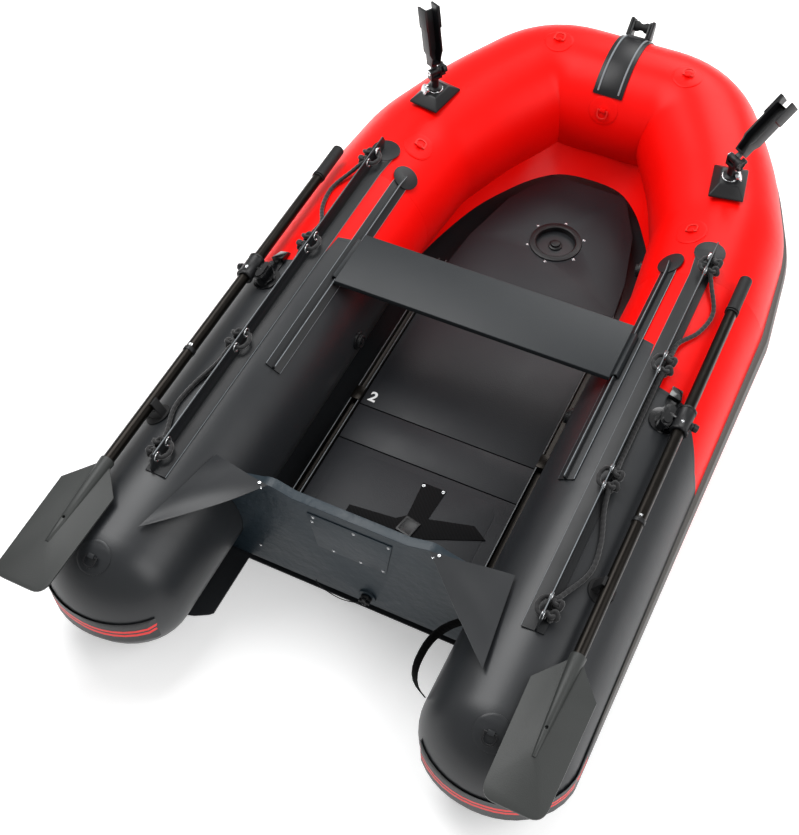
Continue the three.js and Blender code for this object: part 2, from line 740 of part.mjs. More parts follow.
function blade(side) {
  const { neck, shoulder, tip } = oarEnds;
  const shape = new THREE.Shape();
  shape.moveTo(-18, neck - 18);
  shape.lineTo(18, neck - 18);
  shape.lineTo(74, shoulder);
  shape.lineTo(70, tip + 34);
  shape.quadraticCurveTo(68, tip + 2, 40, tip);
  shape.lineTo(-40, tip);
  shape.quadraticCurveTo(-68, tip + 2, -70, tip + 34);
  shape.lineTo(-74, shoulder);
  const flat = plate(shape, 6).translate(0, 0, -3);
  const socket = bar(6, 250, 'y', 0, neck - 125, 0, 16, 19);
  const bore = bar(15.45, 60, 'y', 0, neck - 28, 0, 16);
  const hook = bar(4, 30, 'z', 0, tip + 190, 0, 10);
  return cut(join(flat, socket), bore, hook).translate(side * oarX, 0, oarZ);
}

for (const [name, side] of Object.entries(sides)) {
  add(`oarlock_base_${name}`, oarlockBase(side), finishes.blackPlastic);
  add(`oarlock_swivel_${name}`, oarlockSwivel(side), finishes.blackPlastic);
  add(`oar_collar_${name}`, oarCollar(side), finishes.blackPlastic);
  add(`oar_knob_${name}`, oarKnob(side), finishes.blackPlastic);
  add(`oar_shaft_${name}`, shaft(side), finishes.blackAluminium);
  add(`oar_grip_${name}`, grip(side), finishes.blackPlastic);
  add(`oar_blade_${name}`, blade(side), finishes.greyPlastic);
}

// The rear clips: a saddle with a tall inboard jaw and a low outboard lip that the oar swings out over.
function oarClip(side) {
  const profile = [[-26, 0.5], [30, 0.5], [30, 6], [28, 20], [21, 20], [18, 23], [-15, 23],
    [-17, 51], [-25, 51], [-26, 6]];
  const turn = radians(clipAngle);
  const oarAcross = oarOut * Math.cos(turn) - oarUp * Math.sin(turn);
  const oarAbove = oarOut * Math.sin(turn) + oarUp * Math.cos(turn);
  const saddle = plate(profile.map(([x, z]) => [side * x, z]), 24).rotateX(Math.PI / 2)
    .translate(0, 12, tubeRadius);
  const trough = bar(oarRadius + 1.5, 30, 'y', side * oarAcross, 0, oarAbove, 16);
  const pad = bar(34, 2.2, 'z', 0, 0, 1.1 + seamGap, 20).translate(0, 0, tubeRadius);
  return inTubeFrame(join(cut(saddle, trough), pad), side, clipY, clipAngle);
}
for (const [name, side] of Object.entries(sides)) {
  add(`oar_clip_${name}`, oarClip(side), finishes.rubber);
}

// ---- D-rings ----

for (const [name, place] of Object.entries(ringPlaces)) {
  const finish = name.startsWith('tail') ? finishes.blackPlastic : finishes.redPvc;
  add(`d_ring_${name}`, dRing().applyMatrix4(place), finish);
}

// ---- bow roller ----

const aboutBow = new THREE.Matrix4().makeTranslation(0, bowTubeY, bowTubeZ);

function bowStrip() {
  const shape = new THREE.Shape();
  const from = radians(90 - 52);
  const to = radians(90 + 49);
  shape.absarc(0, 0, tubeRadius + 5, from, to, false);
  shape.absarc(0, 0, tubeRadius + 0.8, to, from, true);
  const strip = plate(shape, 92).translate(0, 0, -46).rotateX(Math.PI / 2).rotateZ(Math.PI / 2);
  return strip.applyMatrix4(aboutBow);
}

const rollerHeight = 34;
const bracketFrame = aboutBow.clone()
  .multiply(new THREE.Matrix4().makeRotationX(radians(-40)))
  .multiply(new THREE.Matrix4().makeTranslation(0, 0, tubeRadius + 6));

function bowBracket() {
  const base = block(64, 52, 9, 0, 0, -0.5);
  const cheek = [[-25, 0], [25, 0], [16, 46], [6, 54], [-6, 54], [-16, 46]];
  const cheeks = [-27, 22].map((x) => plate(cheek, 5)
    .rotateX(Math.PI / 2)
    .rotateZ(Math.PI / 2)
    .translate(x, 0, 0));
  const pin = bar(4, 64, 'x', 0, 0, rollerHeight, 10);
  return join(bowStrip(), join(base, ...cheeks, pin).applyMatrix4(bracketFrame));
}
add('bow_bracket', bowBracket(), finishes.blackPlastic);

function bowRoller() {
  const profile = [[4.4, -20.5], [16, -20.5], [16, -14], [11, -6], [11, 6], [16, 14], [16, 20.5],
    [4.4, 20.5], [4.4, -20.5]];
  return turned(profile, 16).rotateY(Math.PI / 2).translate(0, 0, rollerHeight)
    .applyMatrix4(bracketFrame);
}
add('bow_roller', bowRoller(), finishes.rubber);

// ---- rod holders ----

const rodPose = {
  port: { yaw: 57, tilt: 10 },
  starboard: { yaw: -33, tilt: 52 },
};

function rodFrame(side) {
  return new THREE.Matrix4().makeTranslation(side * rodPlace.x, rodPlace.y, rodPlace.z);
}

function rodBase(side) {
  const square = (halfX, halfY, z) => [[halfX, halfY], [-halfX, halfY], [-halfX, -halfY], [halfX, -halfY]]
    .map(([x, y]) => new THREE.Vector3(x, y, z));
  const base = loft([square(48, 64, 0), square(48, 64, 6), square(28, 36, 26), square(26, 34, 28)]);
  return base.rotateZ(radians(side * rodPadYaw)).applyMatrix4(rodFrame(side));
}

function rodSwivel(side, yaw) {
  const yokeFloor = rodPivotHeight - 24;
  const stem = turned([[0, 28.4], [21, 28.4], [21, 36], [11, 38], [11, yokeFloor + 4], [0, yokeFloor + 4]], 16);
  const ears = [-18.5, 11.5].map((x) => join(
    plate([[-11, yokeFloor], [11, yokeFloor], [11, rodPivotHeight], [-11, rodPivotHeight]], 7),
    bar(11, 7, 'z', 0, rodPivotHeight, 3.5, 16),
  ).rotateX(Math.PI / 2).rotateZ(Math.PI / 2).translate(x, 0, 0));
  const yoke = block(37, 22, 8, 0, 0, yokeFloor + 4);
  return join(stem, yoke, ...ears).rotateZ(radians(yaw)).applyMatrix4(rodFrame(side));
}

// The cradle is a channel, open at the back, whose side walls run on as two prongs past its floor.
function rodCradle(side, { yaw, tilt }) {
  const section = [[-22, -20], [-17, -20], [-17, 11], [17, 11], [17, -20], [22, -20], [22, 16], [-22, 16]];
  const walls = plate(section, 183).translate(0, 0, 22);
  const gap = block(34.2, 60, 40, 0, 20, 205);
  const taper = block(60, 60, 90, 0, -33, 22).rotateX(radians(18));
  const floor = block(44, 30, 6, 0, 1, 25);
  const knuckle = join(bar(10.5, 22, 'x', 0, 0, 0, 16), block(16, 12, 26, 0, 4, 13));
  const cradle = join(cut(join(walls, floor), gap, taper), knuckle);
  return cradle.rotateX(radians(-tilt)).translate(0, 0, rodPivotHeight).rotateZ(radians(yaw))
    .applyMatrix4(rodFrame(side));
}

for (const [name, side] of Object.entries(sides)) {
  add(`rod_base_${name}`, rodBase(side), finishes.blackPlastic);
  add(`rod_swivel_${name}`, rodSwivel(side, rodPose[name].yaw), finishes.blackPlastic);
  add(`rod_cradle_${name}`, rodCradle(side, rodPose[name]), finishes.blackPlastic);
}

// ---- webbing ----

// A strap lying on the rear floor board, and a loop handle on the starboard tail's inner side.
function strapLoop() {
  const shape = new THREE.Shape();
  shape.moveTo(0, -100);
  shape.quadraticCurveTo(-62, -70, -60, 0);
  shape.quadraticCurveTo(-62, 70, 0, 100);
  shape.lineTo(-3, 101.5);
  shape.quadraticCurveTo(-66, 72, -63.5, 0);
  shape.quadraticCurveTo(-66, -72, -3, -101.5);
  const loop = plate(shape, 25).translate(0, 0, -12.5);
  return loop.rotateY(radians(-28)).translate(tubeSpacing - tubeRadius - 4, -935, 235);
}

function floorStrap() {
  const stem = [[-16, 4], [16, 4], [20, -100], [-12, -100]];
  const band = [[-178, -162], [-40, -150], [16, -122], [190, -88], [190, -58], [10, -88], [-40, -112],
    [-178, -128]];
  return join(plate(stem, 2.5), plate(band, 2.5)).translate(44, -428, floorTop + seamGap);
}
add('strap_loop', strapLoop(), finishes.webbing);
add('floor_strap', floorStrap(), finishes.webbing);

// The tubes' lowest flats lie on the ground.
dinghy.position.z = -tubeRadius * (1 - Math.cos(Math.PI / tubeSides));

export default dinghy;
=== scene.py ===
import json
import math

import bmesh
import bpy
from mathutils import Matrix, Vector


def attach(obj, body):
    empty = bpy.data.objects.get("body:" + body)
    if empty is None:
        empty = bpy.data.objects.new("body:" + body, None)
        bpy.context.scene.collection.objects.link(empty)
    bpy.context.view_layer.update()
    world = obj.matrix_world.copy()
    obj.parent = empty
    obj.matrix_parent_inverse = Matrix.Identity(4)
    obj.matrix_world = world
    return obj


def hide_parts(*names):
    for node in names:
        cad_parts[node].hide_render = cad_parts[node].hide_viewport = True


# Inflatable dinghy: the looks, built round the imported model. Metres, +X starboard, +Y bow, +Z up.
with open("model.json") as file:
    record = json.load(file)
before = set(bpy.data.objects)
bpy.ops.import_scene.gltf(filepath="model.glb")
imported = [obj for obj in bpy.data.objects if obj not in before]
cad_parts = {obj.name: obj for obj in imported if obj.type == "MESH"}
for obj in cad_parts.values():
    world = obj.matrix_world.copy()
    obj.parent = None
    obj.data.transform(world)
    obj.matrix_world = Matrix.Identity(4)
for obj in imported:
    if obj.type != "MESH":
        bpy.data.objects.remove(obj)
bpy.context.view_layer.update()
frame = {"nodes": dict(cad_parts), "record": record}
scene = bpy.context.scene
bodyOfNode = {node: body for body, nodes in frame["record"]["behaviour"]["bodies"].items() for node in nodes}
sides = {"port": -1, "starboard": 1}

# The hull's measures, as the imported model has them.
hull = {"radius": 0.188, "spacing": 0.5, "height": 0.18639, "domeStart": -1.045, "domeLength": 0.155,
        "bowJoin": 0.295, "around": 72}
drop = 0.00161  # the model stands on its tubes' lowest flats, this much below their round
bowAxis = [(0.5, 0.295, 0.188), (0.47, 0.585, 0.195), (0.38, 0.805, 0.207), (0.19, 1.045, 0.225)]


def moved(place):
    return Matrix.Translation(place)


def rotated(degrees, axis):
    return Matrix.Rotation(math.radians(degrees), 4, axis)


# The camera's place in metres, and its own axes.
camera = {"place": (0.870, -2.162, 2.976), "right": (0.89851, 0.43830, -0.02380),
          "up": (-0.33962, 0.72852, 0.59491), "back": (0.27809, -0.52645, 0.80344), "lens": 59.5,
          "sensor": 36.0}


def makeCamera():
    data = bpy.data.cameras.new("camera")
    data.sensor_fit = "HORIZONTAL"
    data.sensor_width = camera["sensor"]
    data.lens = camera["lens"]
    data.clip_end = 60
    obj = bpy.data.objects.new("camera", data)
    scene.collection.objects.link(obj)
    columns = [Vector(camera[key]) for key in ("right", "up", "back")]
    turn = Matrix(columns).transposed().to_4x4()
    obj.matrix_world = moved(camera["place"]) @ turn
    scene.camera = obj


makeCamera()


# Materials: sRGB hex values are turned to linear here.
def linear(code):
    parts = [int(code[i:i + 2], 16) / 255 for i in (1, 3, 5)]
    return tuple(p / 12.92 if p <= 0.04045 else ((p + 0.055) / 1.055) ** 2.4 for p in parts) + (1.0,)


def addNode(tree, kind, settings=None, links=None):
    node = tree.nodes.new(kind)
    for key, value in (settings or {}).items():
        if isinstance(key, int) or key in node.inputs:
            node.inputs[key].default_value = value
        else:
            setattr(node, key, value)
    for key, source in (links or {}).items():
        tree.links.new(source, node.inputs[key])
    return node


def newMaterial(name):
    made = bpy.data.materials.new(name)
    made.use_nodes = True
    tree = made.node_tree
    tree.nodes.clear()
    return made, tree


def closeMaterial(tree, shader):
    addNode(tree, "ShaderNodeOutputMaterial", links={"Surface": shader.outputs["BSDF"]})


# A material with a slightly clouded colour, an uneven gloss and a fine grain, all from Object coordinates.
def surface(name, tone, cloud, rough, grain, grainDepth, cloudSize=90, roughSpread=0.08, metal=0.0, ior=1.5,
            coat=0.0, coatRough=0.2, sheen=0.0, spec=0.3):
    made, tree = newMaterial(name)
    place = addNode(tree, "ShaderNodeTexCoord").outputs["Object"]
    clouds = addNode(tree, "ShaderNodeTexNoise",
                     {"Scale": 1000 / cloudSize, "Detail": 4.0, "Roughness": 0.55}, {"Vector": place})
    colour = addNode(tree, "ShaderNodeMix", {"data_type": "RGBA", 6: linear(tone), 7: linear(cloud)},
                     {0: clouds.outputs[0]})
    gloss = addNode(tree, "ShaderNodeMapRange",
                    {"To Min": rough - roughSpread, "To Max": rough + roughSpread},
                    {"Value": clouds.outputs[0]})
    fine = addNode(tree, "ShaderNodeTexNoise", {"Scale": 1000 / grain, "Detail": 3.0}, {"Vector": place})
    bump = addNode(tree, "ShaderNodeBump", {"Strength": 0.5, "Distance": grainDepth},
                   {"Height": fine.outputs[0]})
    shader = addNode(tree, "ShaderNodeBsdfPrincipled",
                     {"Metallic": metal, "IOR": ior, "Coat Weight": coat, "Coat Roughness": coatRough,
                      "Sheen Weight": sheen, "Specular IOR Level": 0.5 if metal == 1.0 else spec},
                     {"Base Color": colour.outputs[2], "Roughness": gloss.outputs[0],
                      "Normal": bump.outputs[0]})
    closeMaterial(tree, shader)
    return made


# PVC-coated polyester, hot welded: semi-gloss, with the weave just showing through the coat. The side tubes
# are grey aft and red forward; the seam runs round each tube at its own length for each angle from the top.
hullPaint = {"red": "#ee0a05", "redCloud": "#e20704", "grey": "#1d1f22", "greyCloud": "#232527", "weave": 4.0,
             "redShine": 0.12, "greyShine": 0.36,
             "seam": [(-180, 0.065), (-31, 0.065), (-25, 0.045), (-14, 0.028), (-12, -0.06), (4, -0.10),
                      (28, -0.114), (47, -0.182), (62, -0.238), (94, -0.294), (180, -0.37)], "seamLow": -0.5,
             "seamHigh": 0.5}


def hullFabric(name, twoTone):
    made, tree = newMaterial(name)
    place = addNode(tree, "ShaderNodeTexCoord").outputs["Object"]
    clouds = addNode(tree, "ShaderNodeTexNoise", {"Scale": 5.0, "Detail": 3.0}, {"Vector": place})
    red = addNode(tree, "ShaderNodeMix", {"data_type": "RGBA", 6: linear(hullPaint["red"]),
                                          7: linear(hullPaint["redCloud"])}, {0: clouds.outputs[0]})
    grey = addNode(tree, "ShaderNodeMix", {"data_type": "RGBA", 6: linear(hullPaint["grey"]),
                                           7: linear(hullPaint["greyCloud"])}, {0: clouds.outputs[0]})
    colour, edge = (red if name == "redPvcFabric" else grey).outputs[2], None
    if twoTone:
        axes = addNode(tree, "ShaderNodeSeparateXYZ", links={0: place})
        across = addNode(tree, "ShaderNodeMath", {"operation": "ABSOLUTE"}, {0: axes.outputs[0]})
        fromAxis = addNode(tree, "ShaderNodeMath", {"operation": "SUBTRACT", 1: hull["spacing"]},
                           {0: across.outputs[0]})
        above = addNode(tree, "ShaderNodeMath", {"operation": "SUBTRACT", 1: hull["height"]},
                        {0: axes.outputs[2]})
        angle = addNode(tree, "ShaderNodeMath", {"operation": "ARCTAN2"},
                        {0: fromAxis.outputs[0], 1: above.outputs[0]})
        turn = addNode(tree, "ShaderNodeMapRange", {"From Min": -math.pi, "From Max": math.pi},
                       {"Value": angle.outputs[0]})
        seam = addNode(tree, "ShaderNodeFloatCurve", links={"Value": turn.outputs[0]})
        span = hullPaint["seamHigh"] - hullPaint["seamLow"]
        marks = [((degrees + 180) / 360, (y - hullPaint["seamLow"]) / span) for degrees,
                 y in hullPaint["seam"]]
        points = seam.mapping.curves[0].points
        points[0].location = marks[0]
        points[1].location = marks[-1]
        for mark in marks[1:-1]:
            points.new(*mark)
        for point in points:
            point.handle_type = "VECTOR"
        seam.mapping.update()
        length = addNode(tree, "ShaderNodeMapRange", {"From Min": hullPaint["seamLow"],
                                                      "From Max": hullPaint["seamHigh"]},
                         {"Value": axes.outputs[1]})
        ahead = addNode(tree, "ShaderNodeMath", {"operation": "SUBTRACT"},
                        {0: length.outputs[0], 1: seam.outputs[0]})
        mask = addNode(tree, "ShaderNodeMapRange", {"From Min": -0.001, "From Max": 0.001},
                       {"Value": ahead.outputs[0]})
        colour = addNode(tree, "ShaderNodeMix", {"data_type": "RGBA"},
                         {0: mask.outputs[0], 6: grey.outputs[2], 7: red.outputs[2]}).outputs[2]
        edge = addNode(tree, "ShaderNodeMapRange", {"From Min": -0.012, "From Max": -0.010},
                       {"Value": ahead.outputs[0]}).outputs[0]
    weave = addNode(tree, "ShaderNodeTexNoise", {"Scale": 1000 / hullPaint["weave"], "Detail": 2.0},
                    {"Vector": place})
    slack = addNode(tree, "ShaderNodeTexNoise", {"Scale": 7.0, "Detail": 2.0, "Distortion": 0.6},
                    {"Vector": place})
    height = addNode(tree, "ShaderNodeMath", {"operation": "MULTIPLY_ADD", 1: 0.10},
                     {0: weave.outputs[0], 2: slack.outputs[0]})
    total = height.outputs[0]
    if edge is not None:
        total = addNode(tree, "ShaderNodeMath", {"operation": "MULTIPLY_ADD", 1: 0.25},
                        {0: edge, 2: total}).outputs[0]
    bump = addNode(tree, "ShaderNodeBump", {"Strength": 0.35, "Distance": 0.003}, {"Height": total})
    gloss = addNode(tree, "ShaderNodeMapRange", {"To Min": 0.32, "To Max": 0.42},
                    {"Value": clouds.outputs[0]})
    shader = addNode(tree, "ShaderNodeBsdfPrincipled",
                     {"IOR": 1.53, "Specular IOR Level": hullPaint["redShine" if name == "redPvcFabric"
                                                                   else "greyShine"]},
                     {"Base Color": colour, "Roughness": gloss.outputs[0], "Normal": bump.outputs[0]})
    if twoTone:
        shine = addNode(tree, "ShaderNodeMapRange", {"To Min": hullPaint["greyShine"],
                                                     "To Max": hullPaint["redShine"]},
                        {"Value": mask.outputs[0]})
        tree.links.new(shine.outputs[0], shader.inputs["Specular IOR Level"])
    closeMaterial(tree, shader)
    return made


# Moulded black rubber of the rubbing strake; the tails carry two red ribs. Forward of the tails the rubber is
# painted lighter grey, a painted sheen for the light its outer face catches.
strakePaint = {"black": "#141517", "grey": "#4b4946", "red": "#e01210", "from": -1.0, "middle": 0.1864,
               "bands": [(0.008, 0.018), (-0.008, 0.002)]}


def strakeRubber():
    made, tree = newMaterial("mouldedRubber")
    place = addNode(tree, "ShaderNodeTexCoord").outputs["Object"]
    axes = addNode(tree, "ShaderNodeSeparateXYZ", links={0: place})
    total = None
    for low, high in strakePaint["bands"]:
        band = addNode(tree, "ShaderNodeMath",
                       {"operation": "COMPARE", 1: strakePaint["middle"] + (low + high) / 2,
                        2: (high - low) / 2}, {0: axes.outputs[2]})
        if total is not None:
            band = addNode(tree, "ShaderNodeMath", {"operation": "ADD"}, {0: total, 1: band.outputs[0]})
        total = band.outputs[0]
    aft = addNode(tree, "ShaderNodeMath", {"operation": "LESS_THAN", 1: strakePaint["from"]},
                  {0: axes.outputs[1]})
    mask = addNode(tree, "ShaderNodeMath", {"operation": "MULTIPLY"}, {0: total, 1: aft.outputs[0]})
    # painted sheen: black at the tails, turning to lighter grey forward of y = -0.9, standing for light
    # caught on the strake's outer face
    paintedSheen = addNode(tree, "ShaderNodeMapRange", {"From Min": -1.0, "From Max": -0.9},
                   {"Value": axes.outputs[1]})
    rubber = addNode(tree, "ShaderNodeMix", {"data_type": "RGBA", 6: linear(strakePaint["black"]),
                                             7: linear(strakePaint["grey"])}, {0: paintedSheen.outputs[0]})
    colour = addNode(tree, "ShaderNodeMix", {"data_type": "RGBA", 7: linear(strakePaint["red"])},
                     {0: mask.outputs[0], 6: rubber.outputs[2]})
    dust = addNode(tree, "ShaderNodeTexNoise", {"Scale": 180.0, "Detail": 3.0}, {"Vector": place})
    bump = addNode(tree, "ShaderNodeBump", {"Strength": 0.3, "Distance": 0.001}, {"Height": dust.outputs[0]})
    gloss = addNode(tree, "ShaderNodeMapRange", {"To Min": 0.42, "To Max": 0.58}, {"Value": dust.outputs[0]})
    shader = addNode(tree, "ShaderNodeBsdfPrincipled", {"IOR": 1.52},
                     {"Base Color": colour.outputs[2], "Roughness": gloss.outputs[0],
                      "Normal": bump.outputs[0]})
    closeMaterial(tree, shader)
    return made


# Woven polyester webbing, drawn with ribs of 3 mm so that they show.
def webbingMaterial():
    made, tree = newMaterial("wovenPolyester")
    place = addNode(tree, "ShaderNodeTexCoord").outputs["Object"]
    ribs = addNode(tree, "ShaderNodeTexWave", {"Scale": 1000 / 3.0 / (2 * math.pi), "Distortion": 0.4,
                                               "bands_direction": "DIAGONAL"}, {"Vector": place})
    colour = addNode(tree, "ShaderNodeMix", {"data_type": "RGBA", 6: linear("#020203"), 7: linear("#08080a")},
                     {0: ribs.outputs[1]})
    bump = addNode(tree, "ShaderNodeBump", {"Strength": 0.6, "Distance": 0.0006}, {"Height": ribs.outputs[1]})
    shader = addNode(tree, "ShaderNodeBsdfPrincipled", {"Roughness": 0.85, "Specular IOR Level": 0.15,
                                                        "Sheen Weight": 0.03},
                     {"Base Color": colour.outputs[2], "Normal": bump.outputs[0]})
    closeMaterial(tree, shader)
    return made


paint = {
    "tubes": hullFabric("twoTonePvcFabric", True),
    "red": hullFabric("redPvcFabric", False),
    "grey": hullFabric("greyPvcFabric", False),
    "strake": strakeRubber(),
    "webbing": webbingMaterial(),
    # extruded PVC strip: satin, with fine drag lines that only break up its shine
    "strip": surface("extrudedPvc", "#151618", "#1a1c1e", 0.42, 2.5, 0.0005),
    # phenolic laminate on plywood: a dark, even face with a fine anti-slip print
    "floor": surface("phenolicLaminate", "#14161a", "#191b1f", 0.50, 3.0, 0.0008, 160, 0.12),
    # black anodised aluminium: dark metal with broad soft lights
    "anodised": surface("anodisedAluminium", "#1a1816", "#23201d", 0.30, 1.5, 0.0002, 60, 0.06, metal=0.85),
    # textured powder coat on the seat
    "seat": surface("powderCoat", "#1e2124", "#242729", 0.46, 2.2, 0.0006, 140),
    # PVC laid over the plywood transom
    "transom": surface("coatedPlywood", "#1a252c", "#222e36", 0.40, 22.0, 0.0035, 120, 0.1),
    # glass-filled nylon as it leaves the mould: satin black with a slight orange peel
    "nylon": surface("mouldedNylon", "#0c0c0e", "#131416", 0.40, 1.8, 0.0004, 40),
    "glossNylon": surface("polishedNylon", "#08090a", "#0e0f11", 0.16, 3.0, 0.0002, 50, 0.05, coat=0.4,
                          coatRough=0.1, spec=0.5),
    "softRubber": surface("softRubber", "#0d0d0e", "#131314", 0.62, 1.6, 0.0006, 30),
    # grey polypropylene blade: waxy, faintly clouded
    "blade": surface("polypropylene", "#2b2d2c", "#333534", 0.44, 2.4, 0.0005, 110),
    "redNylon": surface("redNylon", "#c8160f", "#d81c12", 0.38, 1.8, 0.0003, 40),
    # polished stainless steel of eyelets, rivets and lock knobs
    "steel": surface("stainlessSteel", "#b9bbbd", "#d0d2d4", 0.22, 0.9, 0.0001, 12, 0.08, metal=1.0),
    # painted highlight: pale beads stand for the light caught along the edges of PVC and aluminium
    # extrusions; the bow strip's two light ribs are drawn in it too
    "edge": surface("paintedEdgeHighlight", "#6d7276", "#7d8286", 0.35, 1.5, 0.0002, 30),
    "whitePrint": surface("screenPrint", "#e8e9ea", "#d7d9da", 0.5, 1.2, 0.0001, 20),
    # braided polypropylene rope: the strands are in the mesh, the nap is here
    "rope": surface("braidedPolypropylene", "#08080a", "#101012", 0.66, 0.8, 0.0004, 7, sheen=0.3),
}
print("materials made:", len(paint))


# Tools for modelling in edit mode.
def closeEdit():
    bpy.ops.object.mode_set(mode="OBJECT")


def clearSelection():
    if bpy.context.object is not None and bpy.context.object.mode != "OBJECT":
        closeEdit()
    bpy.ops.object.select_all(action="DESELECT")


def choose(obj):
    clearSelection()
    obj.select_set(True)
    bpy.context.view_layer.objects.active = obj


# Names the primitive that was just added and opens it for editing, all of it selected.
def startPiece(name):
    obj = bpy.context.object
    obj.name = name
    bpy.ops.object.mode_set(mode="EDIT")
    bpy.ops.mesh.select_all(action="SELECT")
    return obj


def pick(obj, test, kind="FACE"):
    bpy.ops.mesh.select_mode(type=kind)
    bpy.ops.mesh.select_all(action="DESELECT")
    data = bmesh.from_edit_mesh(obj.data)
    for part in {"FACE": data.faces, "EDGE": data.edges, "VERT": data.verts}[kind]:
        if test(part):
            part.select_set(True)
    bmesh.update_edit_mesh(obj.data)


def extrude(offset=(0, 0, 0)):
    bpy.ops.mesh.extrude_region_move(TRANSFORM_OT_translate={"value": offset})


# With no window, rotate turns the other way.
def turnAbout(angle, axis, centre):
    bpy.ops.transform.rotate(value=-angle, orient_axis=axis, center_override=centre)


def applyModifier(obj, kind, **settings):
    choose(obj)
    modifier = obj.modifiers.new(kind.lower(), kind)
    for key, value in settings.items():
        setattr(modifier, key, value)
    bpy.ops.object.modifier_apply(modifier=modifier.name)


def softEdges(obj, width, segments=2, angle=32):
    applyModifier(obj, "BEVEL", width=width, segments=segments, limit_method="ANGLE",
                  angle_limit=math.radians(angle))


# Puts a piece made round the origin in its place, in its mesh.
def placePiece(obj, place=None):
    choose(obj)
    if place is not None:
        obj.matrix_world = place @ obj.matrix_world
    bpy.ops.object.transform_apply(location=True, rotation=True, scale=True)


def closeNormals(obj):
    choose(obj)
    bpy.ops.object.mode_set(mode="EDIT")
    bpy.ops.mesh.select_all(action="SELECT")
    bpy.ops.mesh.remove_doubles(threshold=0.00002)
    bpy.ops.mesh.normals_make_consistent(inside=False)
    closeEdit()


def meshPiece(name, vertices, faces):
    mesh = bpy.data.meshes.new(name)
    mesh.from_pydata(vertices, [], faces)
    obj = bpy.data.objects.new(name, mesh)
    scene.collection.objects.link(obj)
    closeNormals(obj)
    return obj


def dress(obj, body, material, nodes=(), smooth=32):
    choose(obj)
    obj.data.materials.clear()
    obj.data.materials.append(paint[material])
    bpy.ops.object.shade_smooth_by_angle(angle=math.radians(smooth))
    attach(obj, body)
    if nodes:
        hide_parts(*nodes)
    return obj


def settle(obj, place, body, material):
    placePiece(obj, place)
    return dress(obj, body, material)


def twin(obj, name, place=None, mirror=False):
    clearSelection()
    other = obj.copy()
    other.data = obj.data.copy()
    other.name = name
    scene.collection.objects.link(other)
    if mirror:
        other.scale.x = -1
    placePiece(other, place)
    if mirror:
        closeNormals(other)
    return other


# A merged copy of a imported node, with its edges rounded as the real part's are.
def refined(node, name, edge, segments=2, angle=32):
    obj = bpy.data.objects.new(name, frame["nodes"][node].data.copy())
    scene.collection.objects.link(obj)
    choose(obj)
    bpy.ops.mesh.customdata_custom_splitnormals_clear()
    bpy.ops.object.mode_set(mode="EDIT")
    bpy.ops.mesh.select_all(action="SELECT")
    bpy.ops.mesh.remove_doubles(threshold=0.00004)
    bpy.ops.mesh.dissolve_limited(angle_limit=math.radians(0.6))
    closeEdit()
    if edge:
        softEdges(obj, edge, segments, angle)
    return obj


def onTube(side, y, angle, lift=0.0):
    share = max(0.0, (y - 0.295) / 0.29)
    x = hull["spacing"] - 0.03 * share
    z = hull["height"] + 0.007 * share
    return (moved((side * x, y, z)) @ rotated(side * angle, "Y")
            @ moved((0, 0, hull["radius"] + lift)))


# Ropes and leash.
rope = {"radius": 0.0055, "pairs": [(345, 295), (-21, -72), (-398, -451), (-775, -824)], "eye": (496, 401.8),
        "loops": [[(529, 256, 389), (557, 188, 374.5), (545, 108, 378), (511, 38, 391)],
                  [(506, -110, 394), (506, -190, 389), (506, -280, 389), (507, -360, 395)],
                  [(518, -500, 389), (544, -590, 378.5), (549, -665, 378), (522, -740, 389)]],
        "strands": 8, "pitch": 0.030, "stepsPerSpan": 12, "around": 24}
leash = {"radius": 0.0012, "route": [(-110, -794, 55), (-104, -798, 49), (-88, -802, 42), (-62, -806, 37),
                                     (-34, -808, 36), (-8, -807, 40), (12, -806, 49), (20.5, -806, 56)]}


def ropeRoute(side):
    eyeX, eyeZ = rope["eye"]
    points = []
    for i, (first, second) in enumerate(rope["pairs"]):
        middle = (first + second) / 2
        points += [(eyeX + 11, first + 1, eyeZ), (eyeX, first, eyeZ), (eyeX - 13, first - 4, eyeZ),
                   (eyeX - 21, middle, eyeZ), (eyeX - 13, second + 4, eyeZ), (eyeX, second, eyeZ),
                   (eyeX + 11, second - 1, eyeZ)]
        points += rope["loops"][i] if i < len(rope["loops"]) else []
    return [Vector((side * x, y, z)) * 0.001 - Vector((0, 0, drop)) for x, y, z in points]


# A centripetal Catmull-Rom line through the points.
def smoothRoute(points, steps):
    first = points[0] * 2 - points[1]
    last = points[-1] * 2 - points[-2]
    knots = [first, *points, last]
    line = []
    for i in range(1, len(knots) - 2):
        a, b, c, d = knots[i - 1:i + 3]
        t0, t1 = 0.0, math.sqrt((b - a).length)
        t2 = t1 + math.sqrt((c - b).length)
        t3 = t2 + math.sqrt((d - c).length)
        for step in range(steps):
            t = t1 + (t2 - t1) * step / steps
            ab = a * ((t1 - t) / (t1 - t0)) + b * ((t - t0) / (t1 - t0))
            bc = b * ((t2 - t) / (t2 - t1)) + c * ((t - t1) / (t2 - t1))
            cd = c * ((t3 - t) / (t3 - t2)) + d * ((t - t2) / (t3 - t2))
            abc = ab * ((t2 - t) / (t2 - t0)) + bc * ((t - t0) / (t2 - t0))
            bcd = bc * ((t3 - t) / (t3 - t1)) + cd * ((t - t1) / (t3 - t1))
            line.append(abc * ((t2 - t) / (t2 - t1)) + bcd * ((t - t1) / (t2 - t1)))
    line.append(points[-1].copy())
    return line


def evenSteps(line, step):
    even, left = [line[0].copy()], step
    for a, b in zip(line, line[1:]):
        length = (b - a).length
        run = left
        while run <= length:
            even.append(a.lerp(b, run / length))
            run += step
        left = run - length
    return even


